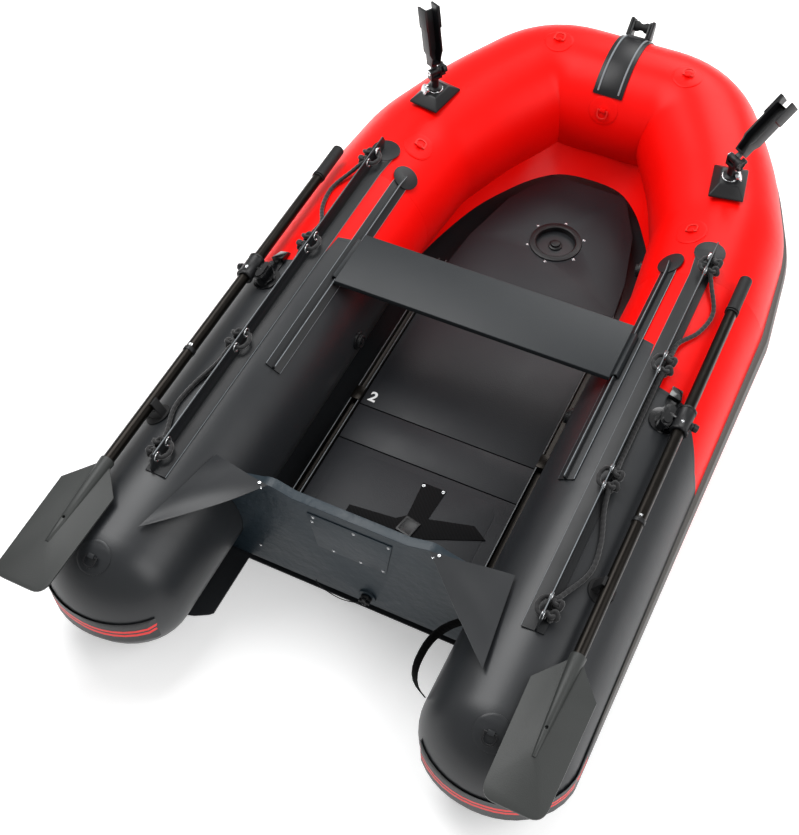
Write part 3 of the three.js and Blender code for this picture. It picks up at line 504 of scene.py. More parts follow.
# A round tube along a line, whose skin is raised by strands that cross each other, closed at both ends.
def braidedTube(name, line, radius, around, strands=0, pitch=0.03):
    vertices, faces = [], []
    normal = None
    run = 0.0
    for i, point in enumerate(line):
        ahead = (line[min(i + 1, len(line) - 1)] - line[max(i - 1, 0)]).normalized()
        if normal is None:
            normal = ahead.cross(Vector((0, 0, 1))).normalized()
        normal = (normal - ahead * normal.dot(ahead)).normalized()
        side = ahead.cross(normal)
        if i:
            run += (point - line[i - 1]).length
        for j in range(around):
            angle = 2 * math.pi * j / around
            twist = 2 * math.pi * run / pitch
            lift = 0.0
            if strands:
                lift = 0.13 * math.cos(strands / 2 * angle + twist) * math.cos(strands / 2 * angle - twist)
            reach = radius * (1.0 + lift)
            vertices.append(point + (normal * math.cos(angle) + side * math.sin(angle)) * reach)
    for i in range(len(line) - 1):
        for j in range(around):
            a, b = i * around + j, i * around + (j + 1) % around
            faces.append((a, b, b + around, a + around))
    faces.append(tuple(reversed(range(around))))
    faces.append(tuple((len(line) - 1) * around + j for j in range(around)))
    return meshPiece(name, vertices, faces)


def lengthOf(line):
    return sum((b - a).length for a, b in zip(line, line[1:]))


knotShape = {"leaf": 0.0042, "depth": 0.0075, "steps": 60, "out": 20, "past": 0.009, "hang": 0.004,
             "skew": 0.35}


# An overhand knot pulled tight: a closed three-leaved turn of the rope.
def makeKnot(name, place):
    points = []
    for i in range(knotShape["steps"] + 1):
        turn = 2 * math.pi * i / knotShape["steps"]
        points.append(place @ Vector((knotShape["leaf"] * (math.sin(turn) + 2 * math.sin(2 * turn)),
                                      -knotShape["depth"] * math.sin(3 * turn),
                                      knotShape["leaf"] * (math.cos(turn) - 2 * math.cos(2 * turn)))))
    return braidedTube(name, points, rope["radius"] * 0.95, 12, 6, rope["pitch"])


def makeRopes():
    for name, side in sides.items():
        route = ropeRoute(side)
        line = evenSteps(smoothRoute(route, rope["stepsPerSpan"]), 0.0025)
        obj = braidedTube(f"grabLine_{name}", line, rope["radius"], rope["around"], rope["strands"],
                          rope["pitch"])
        dress(obj, "hull", "rope", [f"grab_rope_{name}"], 60)
        for i, pair in enumerate(rope["pairs"]):
            for j, y in enumerate(pair):
                past = knotShape["past"] if j else -knotShape["past"]
                place = moved((side * (rope["eye"][0] + knotShape["out"]) / 1000, y / 1000 + past,
                               rope["eye"][1] / 1000 - drop - knotShape["hang"]))
                place = place @ Matrix.Rotation(side * knotShape["skew"] * (1 if j else -1), 4, "Z")
                knot = makeKnot(f"lineKnot_{name}_{2 * i + j}", place)
                dress(knot, "hull", "rope", smooth=60)
        print("grab line", name, round(lengthOf(line), 3), "m")
    route = [Vector(p) * 0.001 - Vector((0, 0, drop)) for p in leash["route"]]
    line = evenSteps(smoothRoute(route, 10), 0.002)
    obj = braidedTube("plugLeash", line, leash["radius"], 12)
    dress(obj, "hull", "softRubber", ["drain_cord"], 60)
    print("leash", round(lengthOf(line), 3), "m")


makeRopes()


def makeSideTube():
    # starts as the straight length; the aft end is drawn out into a dome, ring by ring
    half = (hull["bowJoin"] - 0.0004 - hull["domeStart"]) / 2
    bpy.ops.mesh.primitive_cylinder_add(vertices=hull["around"], radius=hull["radius"], depth=2 * half,
                                        rotation=(math.pi / 2, 0, 0),
                                        location=(hull["spacing"], hull["domeStart"] + half, hull["height"]))
    obj = bpy.context.object
    placePiece(obj)
    startPiece("sideTube_starboard")
    pick(obj, lambda face: face.normal.y < -0.9)
    rings, before = 12, (0.0, 1.0)
    for i in range(1, rings + 1):
        turn = math.radians(88) * i / rings
        share, scale = math.sin(turn), math.cos(turn)
        extrude((0, -(share - before[0]) * hull["domeLength"], 0))
        bpy.ops.transform.resize(value=(scale / before[1],) * 3,
                                 center_override=(hull["spacing"],
                                                  hull["domeStart"] - share * hull["domeLength"],
                                                  hull["height"]))
        before = (share, scale)
    closeEdit()
    return obj


bowCorner = {"swell": 0.042, "cutBack": [0, 0.05, 0.08, 0.104, 0.104, 0.08, 0.05, 0]}


# The bow tube's middle line: the mitres are spread over a few small turns, as an inflated corner is.
def bowLine():
    path = [Vector(p) - Vector((0, 0, drop)) for p in bowAxis]
    path[3].x += bowCorner["swell"]
    path += [Vector((-p.x, p.y, p.z)) for p in reversed(path)]
    cutBack = bowCorner["cutBack"]
    line = [path[0]]
    for i in range(1, len(path) - 1):
        before, corner, after = path[i - 1], path[i], path[i + 1]
        start = corner + (before - corner).normalized() * cutBack[i]
        end = corner + (after - corner).normalized() * cutBack[i]
        steps = 9 if cutBack[i] > 0.09 else 5
        for k in range(steps + 1):
            t = k / steps
            line.append(start.lerp(corner, t).lerp(corner.lerp(end, t), t))
    line.append(path[-1])
    return line


def headings(line):
    found = []
    for i in range(len(line)):
        a, b = line[max(i - 1, 0)], line[min(i + 1, len(line) - 1)]
        found.append(math.atan2(b.y - a.y, b.x - a.x))
    found[0] = math.pi / 2
    found[-1] = -math.pi / 2
    return found


def turnBetween(a, b):
    return (b - a + math.pi) % (2 * math.pi) - math.pi


# Draws the selected section along a line: each step is pushed out, then turned to face the new way.
def drawAlong(line, facing):
    for i in range(1, len(line)):
        extrude(tuple(line[i] - line[i - 1]))
        angle = turnBetween(facing[i - 1], facing[i])
        if abs(angle) > 1e-6:
            turnAbout(angle, "Z", tuple(line[i]))


def makeBowTube():
    line = bowLine()
    facing = headings(line)
    bpy.ops.mesh.primitive_circle_add(vertices=hull["around"], radius=hull["radius"], fill_type="NGON",
                                      rotation=(math.pi / 2, 0, 0), location=tuple(line[0]))
    obj = bpy.context.object
    placePiece(obj)
    startPiece("bowTube")
    pick(obj, lambda face: True)
    drawAlong(line, facing)
    closeEdit()
    closeNormals(obj)
    return obj


strake = {"height": 0.084, "off": 0.0165, "root": -0.006, "corner": 0.012, "rib": 0.0028, "sink": 0.034}


def makeStrake():
    # the line of the strake's root: the tubes' outer side, from one tail round the bow to the other
    middle = bowLine()
    facing = headings(middle)
    line, turns = [], []
    for step in range(17):
        turn = math.radians(30 + 9 * step)
        direction = Vector((math.sin(turn - math.pi / 2), -math.cos(turn - math.pi / 2), 0))
        reach = 1 / math.hypot(direction.x / hull["radius"], direction.y / hull["domeLength"])
        line.append(Vector((hull["spacing"], hull["domeStart"], hull["height"])) + direction * reach)
        turns.append(turn)
    for point, heading in zip(middle, facing):
        outward = Vector((math.sin(heading), -math.cos(heading), 0))
        share = min(1.0, max(0.0, (point.y - 0.15) / 0.5))
        sink = strake["sink"] * share * share * (3 - 2 * share)
        reach = math.sqrt(hull["radius"] ** 2 - sink ** 2)
        line.append(point + outward * reach - Vector((0, 0, sink)))
        turns.append(heading)
    for i in range(16, -1, -1):
        line.append(Vector((-line[i].x, line[i].y, line[i].z)))
        turns.append(-turns[i])
    depth = strake["off"] - strake["root"]
    bpy.ops.mesh.primitive_plane_add(size=1, rotation=(math.pi / 2, 0, 0))
    obj = bpy.context.object
    obj.scale = (depth, strake["height"], 1)
    placePiece(obj)
    startPiece("rubbingStrake")
    bpy.ops.transform.translate(value=((strake["off"] + strake["root"]) / 2, 0, 0))
    pick(obj, lambda vert: vert.co.x > 0, "VERT")
    bpy.ops.mesh.bevel(offset=strake["corner"], offset_pct=0, affect="VERTICES", segments=2)
    pick(obj, lambda edge: all(v.co.x > strake["off"] - 1e-5 for v in edge.verts), "EDGE")
    bpy.ops.mesh.subdivide(number_cuts=9)
    for low, high in ((0.006, 0.020), (-0.010, 0.004)):
        pick(obj, lambda vert: vert.co.x > strake["off"] - 1e-5 and low < vert.co.z < high, "VERT")
        bpy.ops.transform.translate(value=(strake["rib"], 0, 0))
    bpy.ops.mesh.select_mode(type="FACE")
    bpy.ops.mesh.select_all(action="SELECT")
    turnAbout(turns[0] - math.pi / 2, "Z", (0, 0, 0))
    bpy.ops.transform.translate(value=tuple(line[0]))
    drawAlong(line, turns)
    closeEdit()
    closeNormals(obj)
    return obj


def makeHull():
    starboard = makeSideTube()
    port = twin(starboard, "sideTube_port", mirror=True)
    dress(starboard, "hull", "tubes", ["tube_starboard"], 40)
    dress(port, "hull", "tubes", ["tube_port"], 40)
    dress(makeBowTube(), "hull", "red", ["tube_bow"], 40)
    dress(makeStrake(), "hull", "strake", ["rub_strake"], 30)
    print("hull made")


makeHull()


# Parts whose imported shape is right: rounded edges and their finishes.
refinedParts = {
    # node: (piece, material, slot, edge radius, segments)
    "bottom_skin": ("bottomSkin", "grey", "grey", 0.0012, 2),
    "keel_tube": ("keelTube", "grey", "grey", 0.006, 3),
    "floor_board_bow": ("bowBoard", "floor", "floor", 0.0015, 2),
    "floor_board_narrow": ("narrowBoard", "floor", "floor", 0.0015, 2),
    "floor_board_front": ("frontBoard", "floor", "floor", 0.0015, 2),
    "transom_board": ("transomPanel", "transom", "transom", 0.004, 3),
    "motor_plate": ("motorPad", "transom", "plastic", 0.001, 2),
    "drain_plug": ("drainPlug", "nylon", "plastic", 0.0008, 2),
    "seat_board": ("benchSeat", "seat", "seat", 0.0025, 3),
    "access_cup": ("accessCup", "nylon", "plastic", 0.0006, 2),
    "keel_valve_cap": ("keelValveCap", "nylon", "plastic", 0.0010, 2),
    "bow_bracket": ("bowBracket", "nylon", "plastic", 0.0014, 2),
    "strap_loop": ("loopHandle", "webbing", "webbing", 0.0006, 2),
    "seat_rail_*": ("seatRail_*", "strip", "rubber", 0.0010, 2),
    "grab_rail_*": ("grabRail_*", "strip", "rubber", 0.0010, 2),
    "floor_stringer_*": ("floorStringer_*", "anodised", "alloy", 0.0010, 2),
    "oarlock_base_*": ("oarlockBase_*", "glossNylon", "plastic", 0.0016, 3),
    "oarlock_swivel_*": ("oarlockSwivel_*", "glossNylon", "plastic", 0.0045, 4),
    "oar_collar_*": ("oarCollar_*", "nylon", "plastic", 0.0010, 2),
    "oar_knob_*": ("oarKnob_*", "nylon", "plastic", 0.0016, 3),
    "oar_shaft_*": ("oarShaft_*", "anodised", "alloy", 0.0003, 1),
    "oar_grip_*": ("oarGrip_*", "softRubber", "plastic", 0.0012, 2),
    "oar_blade_*": ("oarBlade_*", "blade", "blade", 0.0015, 2),
    "oar_clip_*": ("oarClip_*", "softRubber", "rubber", 0.0012, 2),
    "rod_base_*": ("rodBase_*", "nylon", "plastic", 0.0035, 3),
    "rod_swivel_*": ("rodSwivel_*", "nylon", "plastic", 0.0012, 2),
    "rod_cradle_*": ("rodCradle_*", "nylon", "plastic", 0.0012, 2),
    "d_ring_bow_*": ("dRingBow_*", "redNylon", "redRing", 0.0011, 3),
    "d_ring_side_*": ("dRingSide_*", "redNylon", "redRing", 0.0011, 3),
    "d_ring_inner_bow": ("dRingInnerBow", "redNylon", "redRing", 0.0011, 3),
    "d_ring_tail_*": ("dRingTail_*", "nylon", "ring", 0.0011, 3),
}


skinCut = {"inner": 0.315, "front": -0.7885, "rear": -1.2}
cradleShape = {"neck": 0.052, "head": 0.142, "narrow": 0.72, "wide": 1.13,
               "yaw": {"port": 57, "starboard": -33}, "tilt": {"port": 10, "starboard": 52},
               "corner": (0.45, 0.645, 0.3899), "pivot": 0.092}


# The bottom skin stops at the transom between its two flaps.
def trimSkin(obj):
    clearSelection()
    depth = skinCut["front"] - skinCut["rear"]
    bpy.ops.mesh.primitive_cube_add(size=1, scale=(2 * skinCut["inner"], depth, 0.1),
                                    location=(0, skinCut["front"] - depth / 2, 0))
    cutter = bpy.context.object
    applyModifier(obj, "BOOLEAN", object=cutter, operation="DIFFERENCE", solver="EXACT")
    bpy.data.objects.remove(cutter)


def cradlePivot(name):
    x, y, z = cradleShape["corner"]
    return (moved((sides[name] * x, y, z))
            @ rotated(cradleShape["yaw"][name], "Z")
            @ moved((0, 0, cradleShape["pivot"])))


def cradleFrame(name):
    return cradlePivot(name) @ rotated(-cradleShape["tilt"][name], "X")


# The cradle is drawn in at its neck and stands out at its head.
def shapeCradle(obj, name):
    place = cradleFrame(name)
    placePiece(obj, place.inverted())
    choose(obj)
    bpy.ops.object.mode_set(mode="EDIT")
    for height in (cradleShape["neck"], cradleShape["neck"] + 0.016, cradleShape["head"] - 0.003,
                   cradleShape["head"]):
        bpy.ops.mesh.select_all(action="SELECT")
        bpy.ops.mesh.bisect(plane_co=(0, 0, height), plane_no=(0, 0, 1))
    pick(obj, lambda vert: 0.021 < vert.co.z < cradleShape["neck"] + 1e-5, "VERT")
    bpy.ops.transform.resize(value=(cradleShape["narrow"], 1, 1), center_override=(0, 0, 0))
    pick(obj, lambda vert: (vert.co.z > cradleShape["head"] - 1e-5
                            and (abs(vert.co.x) > 0.0185 or vert.co.y > 0.0135)), "VERT")
    bpy.ops.transform.resize(value=(cradleShape["wide"], cradleShape["wide"], 1), center_override=(0, 0, 0))
    closeEdit()
    placePiece(obj, place)


def makeRefined():
    for node, (piece, material, slot, edge, segments) in refinedParts.items():
        for name in (sides if "*" in node else ("",)):
            source = node.replace("*", name)
            obj = refined(source, piece.replace("*", name), edge, segments)
            if source == "bottom_skin":
                trimSkin(obj)
            if node == "rod_cradle_*":
                shapeCradle(obj, name)
            dress(obj, bodyOfNode[source], material, [source], 34)
    print("refined parts made")


makeRefined()


# Gussets: sheets of hull fabric from the transom's corners to the tubes.
gusset = {"corners": [(0.393, -0.733, 0.350), (0.208, -0.792, 0.413)],
          "tips": {"port": (0.440, -1.000, 0.374), "starboard": (0.424, -0.986, 0.372)},
          "aim": (0.300, -0.872, 0.374), "lift": 0.003, "thickness": 0.0016, "flat": (0.34, 0.30),
          "area": 0.0345}


def makeGusset(name, side):
    a, b, c = [Vector((side * x, y, z - drop)) for x, y, z in [*gusset["corners"], gusset["tips"][name]]]
    aim = Vector((side * gusset["aim"][0], gusset["aim"][1], gusset["aim"][2] - drop))
    across = (b - a).cross(c - a).normalized()
    across = -across if across.z < 0 else across
    rows, columns = 14, 14
    vertices, faces = [], []
    for i in range(rows + 1):
        t = i / rows
        low = a.lerp(c, t)
        high = b.lerp(aim, t).lerp(aim.lerp(c, t), t)
        for j in range(columns + 1):
            s = j / columns
            puff = 0.0025 * math.sin(math.pi * s) * math.sin(math.pi * min(1.0, 1.2 * t))
            fold = 0.0012 * math.sin(7 * s + 9 * t)
            vertices.append(low.lerp(high, s) + across * (gusset["lift"] + 0.0012 + puff + fold * (1 - t)))
    for i in range(rows):
        for j in range(columns):
            k = i * (columns + 1) + j
            faces.append((k, k + 1, k + columns + 2, k + columns + 1))
    obj = meshPiece(f"transomGusset_{name}", vertices, faces)
    applyModifier(obj, "SOLIDIFY", thickness=gusset["thickness"], offset=0)
    dress(obj, "hull", "grey", [f"transom_gusset_{name}"], 40)


for sideName, sideSign in sides.items():
    makeGusset(sideName, sideSign)
print("gussets made")


# Small fittings, each modelled once and copied.

# A ring with a hole: a disc with its middle opened and its edges rounded.
def makeWasher(name, outer, inner, thick):
    clearSelection()
    bpy.ops.mesh.primitive_cylinder_add(vertices=28, radius=outer, depth=thick)
    obj = startPiece(name)
    pick(obj, lambda face: abs(face.normal.z) > 0.9)
    bpy.ops.mesh.inset(thickness=outer - inner)
    bpy.ops.mesh.delete(type="FACE")
    pick(obj, lambda edge: edge.is_boundary, "EDGE")
    bpy.ops.mesh.bridge_edge_loops()
    closeEdit()
    softEdges(obj, thick * 0.33, 3)
    return obj


# A round-headed rivet on a thin collar.
def makeRivet(name, radius):
    clearSelection()
    bpy.ops.mesh.primitive_uv_sphere_add(segments=16, ring_count=8, radius=radius)
    obj = startPiece(name)
    bpy.ops.mesh.bisect(plane_co=(0, 0, radius * 0.35), plane_no=(0, 0, 1), clear_inner=True, use_fill=True)
    bpy.ops.mesh.select_all(action="SELECT")
    bpy.ops.transform.translate(value=(0, 0, -radius * 0.35))
    pick(obj, lambda face: face.normal.z < -0.9)
    extrude()
    bpy.ops.transform.resize(value=(1.25, 1.25, 1))
    extrude((0, 0, -radius * 0.25))
    closeEdit()
    return obj


# A hand knob with lobes: every second side of a drum is drawn out.
def makeStarKnob(name, radius, thick, lobes):
    clearSelection()
    bpy.ops.mesh.primitive_cylinder_add(vertices=lobes * 4, radius=radius * 0.62, depth=thick)
    obj = startPiece(name)
    bpy.ops.mesh.select_mode(type="FACE")

    def onLobe(face):
        middle = face.calc_center_median()
        if abs(face.normal.z) > 0.5:
            return False
        turn = math.atan2(middle.y, middle.x) / (2 * math.pi) * lobes
        return abs(turn - round(turn)) < 0.25
    pick(obj, onLobe)
    extrude()
    bpy.ops.transform.resize(value=(1.62, 1.62, 0.86), center_override=(0, 0, 0))
    pick(obj, lambda face: face.normal.z > 0.9 and face.calc_center_median().length < radius * 0.7 + thick)
    bpy.ops.mesh.inset(thickness=radius * 0.18)
    extrude((0, 0, -thick * 0.2))
    closeEdit()
    softEdges(obj, radius * 0.08, 2)
    return obj


# A round bead along a line, closed at both ends.
def makeBead(name, points, radius):
    clearSelection()
    bpy.ops.mesh.primitive_circle_add(vertices=10, radius=radius, fill_type="NGON",
                                      rotation=(math.pi / 2, 0, 0), location=tuple(points[0]))
    obj = bpy.context.object
    placePiece(obj)
    startPiece(name)
    pick(obj, lambda face: True)
    for before, after in zip(points, points[1:]):
        extrude(tuple(after - before))
    bpy.ops.transform.resize(value=(0.4, 1, 0.4), center_override=tuple(points[-1]))
    closeEdit()
    closeNormals(obj)
    return obj


def copies(first, places, label, body, material, smooth=34):
    for i, place in enumerate(places):
        dress(twin(first, f"{label}_{i}", place), body, material, smooth=smooth)
    bpy.data.objects.remove(first)


def flangeFrame(side, y):
    return onTube(side, y, -2) @ rotated(8 * side, "Y")


trim = {"eyelet": (0.0140, 0.0085, 0.0085), "eyeletHeight": 0.026, "rivet": 0.0036, "bead": 0.0013,
        "flangeTop": 0.0445, "seatRib": 0.0141}
sideways = rotated(90, "Y")


def makeTrim():
    eyelet = makeWasher("eyelet", *trim["eyelet"])
    places = [flangeFrame(side, y / 1000) @ moved((0, 0, trim["eyeletHeight"])) @ sideways
              for side in (-1, 1) for pair in rope["pairs"] for y in pair]
    copies(eyelet, places, "eyelet", "hull", "steel")
    for name, side in sides.items():
        # painted highlights: thin pale beads along the flange top, the strips' edges, the seat rib and the
        # stringers' edges, where light catches them
        lines = {
            "flangeEdge": [flangeFrame(side, 0) @ Vector((0, y, trim["flangeTop"])) for y in (-0.832, 0.392)],
            "grabStripEdge": [onTube(side, y, -12.3) @ Vector((0, 0, 0.0033)) for y in (-0.853, 0.295,
                                                                                        0.375)],
            "seatRibEdge": [onTube(side, y, -31.5) @ Vector((0, 0, trim["seatRib"])) for y in (-0.435, 0.295,
                                                                                               0.33)],
            "seatStripInner": [onTube(side, y, -38.1) @ Vector((0, 0, 0.0033)) for y in (-0.436, 0.295,
                                                                                         0.312)],
            "seatStripOuter": [onTube(side, y, -24.9) @ Vector((0, 0, 0.0033)) for y in (-0.436, 0.295,
                                                                                         0.312)],
            "stringerInner": [Vector((side * 0.266, y, 0.0707)) for y in (-0.743, 0.329)],
            "stringerOuter": [Vector((side * 0.288, y, 0.0707)) for y in (-0.743, 0.329)],
        }
        for label, points in lines.items():
            dress(makeBead(f"{label}_{name}", points, trim["bead"]), "hull", "edge", smooth=60)
    print("eyelets and edge beads made")


makeTrim()


# D-ring patches and inflation valves.
patches = {"radius": 0.044, "thickness": 0.0013, "rings": 6, "lug": (0.015, 0.011, 0.0115),
           "places": {"BowPort": ((-0.205, 1.013, 0.411), 10, 0, False, "bowTube"),
                      "BowStarboard": ((0.205, 1.013, 0.411), 10, 0, False, "bowTube"),
                      "InnerBow": ((0, 0.8783, 0.314), 62, 0, True, "bowTube"),
                      "SidePort": ((-0.412, 0.452, 0.3638), 0, 22, False, "bowTube"),
                      "SideStarboard": ((0.412, 0.452, 0.3638), 0, -22, False, "bowTube"),
                      "TailPort": ((-0.5, -1.107, 0.363), 22, 0, True, "sideTube_port"),
                      "TailStarboard": ((0.5, -1.107, 0.363), 22, 0, True, "sideTube_starboard")}}
valves = {"flange": 0.026, "cap": 0.018, "rise": 0.014, "ribs": 12,
          "places": {"Port": (-1, -0.15, -88), "Starboard": (1, -0.15, -88)},
          "bowPlace": (0.297, 0.43, 0.180), "bowTurn": (10, -95)}


def makePatch(label, corner, tilt, lean, back, target):
    place = (moved(Vector(corner) - Vector((0, 0, drop))) @ rotated(tilt, "X")
             @ rotated(lean, "Y"))
    if back:
        place = place @ rotated(180, "Z")
    clearSelection()
    bpy.ops.mesh.primitive_circle_add(vertices=48, radius=patches["radius"], fill_type="NGON")
    obj = startPiece(f"ringPatch{label}")
    for _ in range(patches["rings"]):
        bpy.ops.mesh.inset(thickness=patches["radius"] / (patches["rings"] + 1.5))
    closeEdit()
    placePiece(obj, place)
    applyModifier(obj, "SHRINKWRAP", target=bpy.data.objects[target], wrap_method="NEAREST_SURFACEPOINT",
                  wrap_mode="OUTSIDE_SURFACE", offset=0.0007)
    applyModifier(obj, "SOLIDIFY", thickness=patches["thickness"], offset=1)
    softEdges(obj, 0.0005, 2, 50)
    tone = "grey" if label.startswith("Tail") else "red"
    dress(obj, "hull", tone, smooth=40)
    # the webbing lug that holds the ring's straight side
    clearSelection()
    bpy.ops.mesh.primitive_cube_add(size=1, scale=patches["lug"], location=(0, -0.0015, 0.0058))
    lug = startPiece(f"ringLug{label}")
    pick(lug, lambda edge: edge.verts[0].co.z > 0 and edge.verts[1].co.z > 0
         and abs(edge.verts[0].co.x - edge.verts[1].co.x) > 0.5, "EDGE")
    bpy.ops.mesh.bevel(offset=0.3, segments=3)
    closeEdit()
    placePiece(lug, place)
    softEdges(lug, 0.0006, 2)
    dress(lug, "hull", tone)


def makeValve(name, place):
    clearSelection()
    bpy.ops.mesh.primitive_cylinder_add(vertices=valves["ribs"] * 4, radius=valves["flange"], depth=0.008)
    obj = startPiece(name)
    pick(obj, lambda face: face.normal.z > 0.9)
    bpy.ops.mesh.inset(thickness=valves["flange"] - valves["cap"])
    extrude((0, 0, valves["rise"] - 0.004))
    bpy.ops.mesh.inset(thickness=0.004)
    extrude((0, 0, -0.002))
    bpy.ops.mesh.inset(thickness=0.006)
    extrude((0, 0, 0.003))
    pick(obj, lambda face: abs(face.normal.z) < 0.1 and face.calc_center_median().z > 0.005
         and face.calc_center_median().xy.length > valves["cap"] * 0.9
         and round(math.atan2(face.calc_center_median().y, face.calc_center_median().x) / math.pi
                   * 2 * valves["ribs"] - 0.5) % 2 == 0)
    extrude()
    bpy.ops.transform.resize(value=(1.05, 1.05, 0.8), center_override=(0, 0, valves["rise"] / 2))
    closeEdit()
    placePiece(obj, place)
    softEdges(obj, 0.0006, 2)
    dress(obj, "hull", "nylon")


def makePatchesAndValves():
    for label, values in patches["places"].items():
        makePatch(label, *values)
    for name, (side, y, angle) in valves["places"].items():
        makeValve(f"inflationValve{name}", onTube(side, y, angle))
    x, y, z = valves["bowPlace"]
    heading, roll = valves["bowTurn"]
    bowValve = (moved((x, y, z - drop)) @ rotated(heading, "Z")
                @ rotated(roll, "Y"))
    makeValve("inflationValveBow", bowValve)
    print("patches and valves made")


makePatchesAndValves()


# Rivets, screws and the drain plug's star.
hardware = {
    "transomRivets": [(-0.095, 0.351), (-0.099, 0.330), (0.012, 0.350), (0.103, 0.351), (-0.048, 0.232),
                      (0.025, 0.231), (0.085, 0.233), (-0.266, 0.106)],
    "gussetRivets": [(0.232, -0.790, 0.4115), (0.222, -0.800, 0.4105)],
    "drainStar": (0.035, -0.8075, 0.0724), "starKnob": (0.015, 0.009, 4),
    "plateFace": -0.7909, "panelFace": -0.7874,
    "strapRivets": [(0.018, -0.427, 0.0628), (0.074, -0.425, 0.0628)],
    "cupScrews": (0.0865, 6), "cupCentre": (0, 0.545), "cupTop": 0.0586,
}


def makeHardware():
    back = rotated(90, "X")
    places = []
    for x, z in hardware["transomRivets"]:
        face = hardware["panelFace"] if z < 0.1 else hardware["plateFace"]
        places.append(moved((x, face, z)) @ back)
    for x, y, z in hardware["strapRivets"]:
        places.append(moved((x, y, z)))
    reach, count = hardware["cupScrews"]
    for i in range(count):
        turn = 2 * math.pi * (i + 0.5) / count
        places.append(moved((hardware["cupCentre"][0] + reach * math.cos(turn),
                             hardware["cupCentre"][1] + reach * math.sin(turn), hardware["cupTop"])))
    copies(makeRivet("rivet", trim["rivet"]), places, "rivet", "hull", "steel")
    star = makeStarKnob("drainStar", *hardware["starKnob"])
    settle(star, moved(hardware["drainStar"]) @ back, "drain_plug", "nylon")
    # gusset rivets stand on the gussets' forward corners
    for name, side in sides.items():
        places = [moved((side * x, y, z)) for x, y, z in hardware["gussetRivets"]]
        copies(makeRivet("gussetRivet", 0.003), places, f"gussetRivet_{name}", "hull", "steel")


rodFittings = {
    "baseTop": 0.028, "disc": (0.0235, 0.0125, 0.003), "discLift": 0.0018,
    "stud": 0.0034, "studs": 4, "studReach": 0.0195, "studLift": 0.003,
    "lock": (0.0165, 0.009), "lockSpots": {"port": (-0.471, 0.622, 0.424),
                                           "starboard": (0.471, 0.650, 0.424)},
    "lockAxisHeight": 0.412, "lockDish": 0.0025, "lockCrown": 0.0016, "lockStem": (0.0115, 0.015),
    "clamp": (0.020, 0.013, 3), "clampOut": 0.026, "cap": (0.0085, 0.003, 0.003), "capOut": -0.0201,
    "rib": (0.026, 0.0030, 0.0024), "ribs": 4, "ribFront": 0.0168, "ribFrom": 0.032, "ribStep": 0.006,
}


# Round steel knob that locks a rod holder's base.
def makeLockKnob(name):
    radius, thick = rodFittings["lock"]
    stemInset, stem = rodFittings["lockStem"]
    clearSelection()
    bpy.ops.mesh.primitive_cylinder_add(vertices=32, radius=radius, depth=thick)
    lock = startPiece(f"rodLock_{name}")
    pick(lock, lambda face: face.normal.z > 0.9)
    bpy.ops.mesh.inset(thickness=rodFittings["lockDish"])
    extrude((0, 0, rodFittings["lockCrown"]))
    pick(lock, lambda face: face.normal.z < -0.9)
    bpy.ops.mesh.inset(thickness=stemInset)
    extrude((0, 0, -stem))
    closeEdit()
    softEdges(lock, 0.0012, 3)
    spot = Vector(rodFittings["lockSpots"][name])
    x, y, _ = cradleShape["corner"]
    axis = Vector((sides[name] * x, y, rodFittings["lockAxisHeight"]))
    aim = (spot - axis).to_track_quat("Z", "Y").to_matrix().to_4x4()
    settle(lock, moved(spot) @ aim, "hull", "steel")


def makeRodFittings():
    for name, side in sides.items():
        x, y, z = cradleShape["corner"]
        foot = moved((side * x, y, z))
        disc = makeWasher(f"rodDisc_{name}", *rodFittings["disc"])
        settle(disc, foot @ moved((0, 0, rodFittings["baseTop"] + rodFittings["discLift"])), "hull", "steel")
        spot = moved((rodFittings["studReach"], 0, rodFittings["baseTop"] + rodFittings["studLift"]))
        studs = [foot @ rotated(45 + 90 * i, "Z") @ spot for i in range(rodFittings["studs"])]
        copies(makeRivet("rodStud", rodFittings["stud"]), studs, f"rodStud_{name}", "hull", "whitePrint")
        makeLockKnob(name)
        # three-lobed clamp knob on one side of the yoke, and the pin's cap on the other
        pivot = cradlePivot(name)
        swivel = f"rod_swivel_{name}"
        knob = makeStarKnob(f"rodClamp_{name}", *rodFittings["clamp"])
        settle(knob, pivot @ moved((rodFittings["clampOut"], 0, 0)) @ sideways, swivel, "nylon")
        cap = makeWasher(f"rodPinCap_{name}", *rodFittings["cap"])
        settle(cap, pivot @ moved((rodFittings["capOut"], 0, 0)) @ sideways, swivel, "steel")
        # ribs across the cradle's neck
        for i in range(rodFittings["ribs"]):
            clearSelection()
            bpy.ops.mesh.primitive_cube_add(size=1, scale=rodFittings["rib"])
            rib = startPiece(f"cradleRib_{name}_{i}")
            pick(rib, lambda face: face.normal.y > 0.9)
            bpy.ops.transform.resize(value=(0.9, 1, 0.5))
            closeEdit()
            height = rodFittings["ribFrom"] + rodFittings["ribStep"] * i
            placePiece(rib, cradleFrame(name) @ moved((0, rodFittings["ribFront"], height)))
            softEdges(rib, 0.0004, 2)
            dress(rib, f"rod_cradle_{name}", "nylon")
    print("rod fittings made")


oarParts = {
    "across": 0.602, "height": 0.393, "joint": (0.0166, 0.0152, 0.012), "jointAt": -0.505,
    "ring": (0.0178, 0.0156, 0.004), "ringAt": 0.190, "eye": (0.0068, 0.0041, 0.009), "eyeAt": -1.06,
    "rivet": 0.0042, "rivetAt": -0.205, "rivetLift": 0.0213,
    "button": 0.004, "buttonAt": -0.493, "buttonLift": 0.0146,
}


